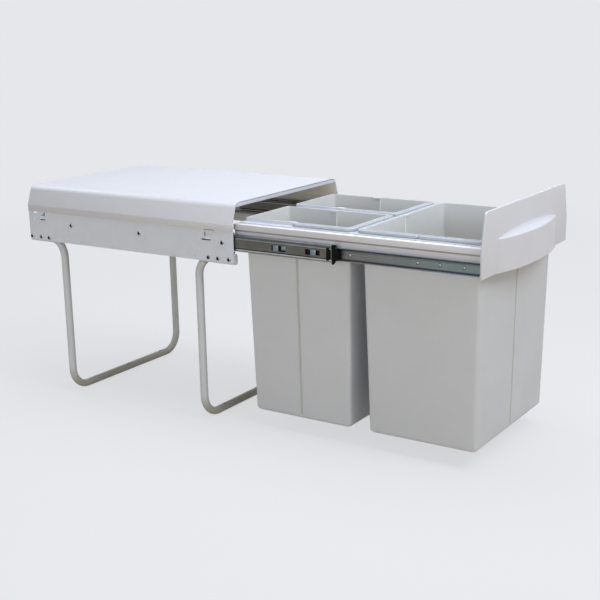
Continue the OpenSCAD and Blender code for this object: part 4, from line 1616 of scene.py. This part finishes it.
@dataclass
class RailTabs:
    """The bright tabs lanced between the windows of the middle rails' webs."""

    proud: float = 0.25
    sheet: float = 0.6
    web_u: float = 2.6
    edge_r: float = 0.15
    tabs: tuple[tuple[float, float, float, float], ...] = (
        (128.0, 117.7, -4.6, 4.6), (111.3, 103.6, -1.6, 4.6), (55.3, 45.4, -4.5, 4.5),
    )

    def build(self) -> None:
        """Builds the tabs of both rails."""
        for side in Side:
            low, high = node_box(side.node("end_stop"))
            plate_low, plate_high = node_box(side.node("side_plate"))
            middle = (low.z + high.z) / 2
            plate_in = plate_high.y if side is Side.LEFT else plate_low.y
            face = plate_in - side.value * (self.web_u - self.proud)
            near, far = sorted((face, face - side.value * self.sheet))
            tabs = Blank()
            for back, front, under, over in self.tabs:
                corner = (high.x - front, far, middle + over)
                tab = Blank()
                tab.block((high.x - back, near, middle + under), corner)
                tab.soften(self.edge_r)
                tabs.take(tab)
            tabs.finish(side.node("rail_tabs"), side.node("middle"), TAB_STEEL, [])


@dataclass(frozen=True)
class Lamp:
    """A square area lamp: its place, target and size in metres, and its power in watts."""

    name: str
    place: Point
    target: Point
    size: float
    power: float
    colour: ClassVar[Point] = (0.92, 0.95, 1.0)

    def build(self) -> None:
        """Hangs the lamp."""
        data = bpy.data.lights.new(self.name, "AREA")
        data.shape = "SQUARE"
        data.size, data.energy, data.color = self.size, self.power, self.colour
        lamp = bpy.data.objects.new(self.name, data)
        lamp.location = self.place
        aim = Vector(self.target) - Vector(self.place)
        lamp.rotation_euler = aim.to_track_quat("-Z", "Y").to_euler()
        bpy.context.scene.collection.objects.link(lamp)


@dataclass
class Studio:
    """Pale floor, soft light and the camera at the photograph's place."""

    background: Colour = srgb((230, 231, 234))
    sky: Colour = (0.98, 0.99, 1.0, 1.0)
    ambient: float = 0.2
    bounce: Colour = (0.50, 0.40, 0.255, 1.0)
    floor_size: float = 40.0
    fade_reach: Pair = (0.8, 2.4)
    fade: Pair = (0.78, 1.0)
    camera_place: Point = (1.359, -1.660, 0.703)
    azimuth: float = 33.117
    elevation: float = 14.237
    roll: float = -1.129
    lens: float = 67.94
    sensor: float = 36.0
    shift: Pair = (-0.009, -0.0003)
    lamps: tuple[Lamp, ...] = (
        Lamp("overhead_lamp", (0.5, 0.35, 2.9), (0.4, 0.0, 0.2), 2.5, 56.0),
        Lamp("high_lamp", (2.6, -0.3, 2.6), (0.4, 0.0, 0.3), 1.4, 50.0),
        Lamp("front_lamp", (2.9, -1.9, 1.3), (0.4, 0.0, 0.25), 1.2, 9.5),
        Lamp("side_lamp", (0.3, -3.5, 0.8), (0.3, 0.0, 0.25), 1.5, 27.5),
        Lamp("back_lamp", (-3.2, 0.6, 2.8), (0.1, 0.0, 0.25), 2.0, 34.0),
    )

    def build(self) -> None:
        """Builds the whole studio."""
        self.floor()
        self.world()
        for lamp in self.lamps:
            lamp.build()
        self.camera()
        bpy.context.scene.view_settings.view_transform = "Standard"

    def seen(self, graph: Graph) -> NodeSocket:
        """Masks the rays that show the background.

        Args:
            graph: Tree to add the mask to.

        Returns:
            1 for camera, glossy and transmission rays, 0 for others.
        """
        path = graph.add("ShaderNodeLightPath").outputs
        pair = graph.calc("MAXIMUM", path["Is Camera Ray"], path["Is Glossy Ray"])
        return graph.calc("MAXIMUM", pair, path["Is Transmission Ray"])

    def world(self) -> None:
        """Makes the world: soft light all round, the pale background where it is seen."""
        world = bpy.data.worlds.new("studio")
        world.use_nodes = True
        graph = Graph(world.node_tree)
        light, shown = (
            graph.add("ShaderNodeBackground", {"Color": colour, "Strength": strength}).outputs[0]
            for colour, strength in ((self.sky, self.ambient), (self.background, 1.0))
        )
        mixed = graph.add("ShaderNodeMixShader", {0: self.seen(graph), 1: light, 2: shown})
        graph.add("ShaderNodeOutputWorld", {"Surface": mixed.outputs[0]})
        bpy.context.scene.world = world

    def floor(self) -> None:
        """Makes the floor: a faint shadow near the object, fading into the background."""
        data = bpy.data.meshes.new("floor")
        mesh = bmesh.new()
        bmesh.ops.create_grid(mesh, x_segments=1, y_segments=1, size=self.floor_size / 2)
        mesh.to_mesh(data)
        mesh.free()
        floor = bpy.data.objects.new("floor", data)
        bpy.context.scene.collection.objects.link(floor)
        material = bpy.data.materials.new("pale_floor")
        material.use_nodes = True
        graph = Graph(material.node_tree)
        reach = graph.vector("LENGTH", graph.add("ShaderNodeTexCoord").outputs["Object"])
        seen = self.seen(graph)
        hold = graph.calc("MULTIPLY", graph.remap(reach, self.fade_reach, *self.fade), seen)
        colour = graph.blend(seen, self.bounce, self.background)
        bare = graph.add("ShaderNodeBsdfDiffuse", {"Color": colour}).outputs[0]
        glow = graph.add("ShaderNodeEmission", {"Color": self.background, "Strength": 1.0})
        mixed = graph.add("ShaderNodeMixShader", {0: hold, 1: bare, 2: glow.outputs[0]})
        graph.add("ShaderNodeOutputMaterial", {"Surface": mixed.outputs[0]})
        data.materials.append(material)

    def camera(self) -> None:
        """Sets the camera at the photograph's place."""
        turn, rise = math.radians(self.azimuth), math.radians(self.elevation)
        level = math.cos(rise)
        back = Vector((math.sin(turn) * level, -math.cos(turn) * level, math.sin(rise)))
        right = Vector((0, 0, 1)).cross(back).normalized()
        aim = Matrix((right, back.cross(right), back)).transposed().to_4x4()
        data = bpy.data.cameras.new("photo_camera")
        data.lens, data.sensor_width = self.lens, self.sensor
        data.shift_x, data.shift_y = self.shift
        camera = bpy.data.objects.new("photo_camera", data)
        roll = Matrix.Rotation(math.radians(self.roll), 4, "Z")
        camera.matrix_world = Matrix.Translation(self.camera_place) @ aim @ roll
        bpy.context.scene.collection.objects.link(camera)
        bpy.context.scene.camera = camera


def main() -> None:
    """Builds every piece in order."""
    logging.basicConfig(level=logging.INFO, format="%(name)s: %(message)s", stream=sys.stdout)
    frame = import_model()
    Studio().build()
    Cover().build()
    SideProfiles().build()
    FrontPanel().build()
    Bin("large_bin", rear_rim=10.0, bead_on_x=True, lugs=True).build()
    for side in Side:
        Bin(side.node("small_bin"), rear_rim=4.0, bead_on_x=False).build()
        Bail(side.node("small_bin_bail"), way=1).build()
    Bail("large_bin_rear_bail", way=-1).build()
    Bail("large_bin_front_bail", way=1).build()
    Fasteners().build()
    EndStops().build()
    RailTabs().build()
    dress_kept_nodes(frame["nodes"])


if __name__ == "__main__":
    main()
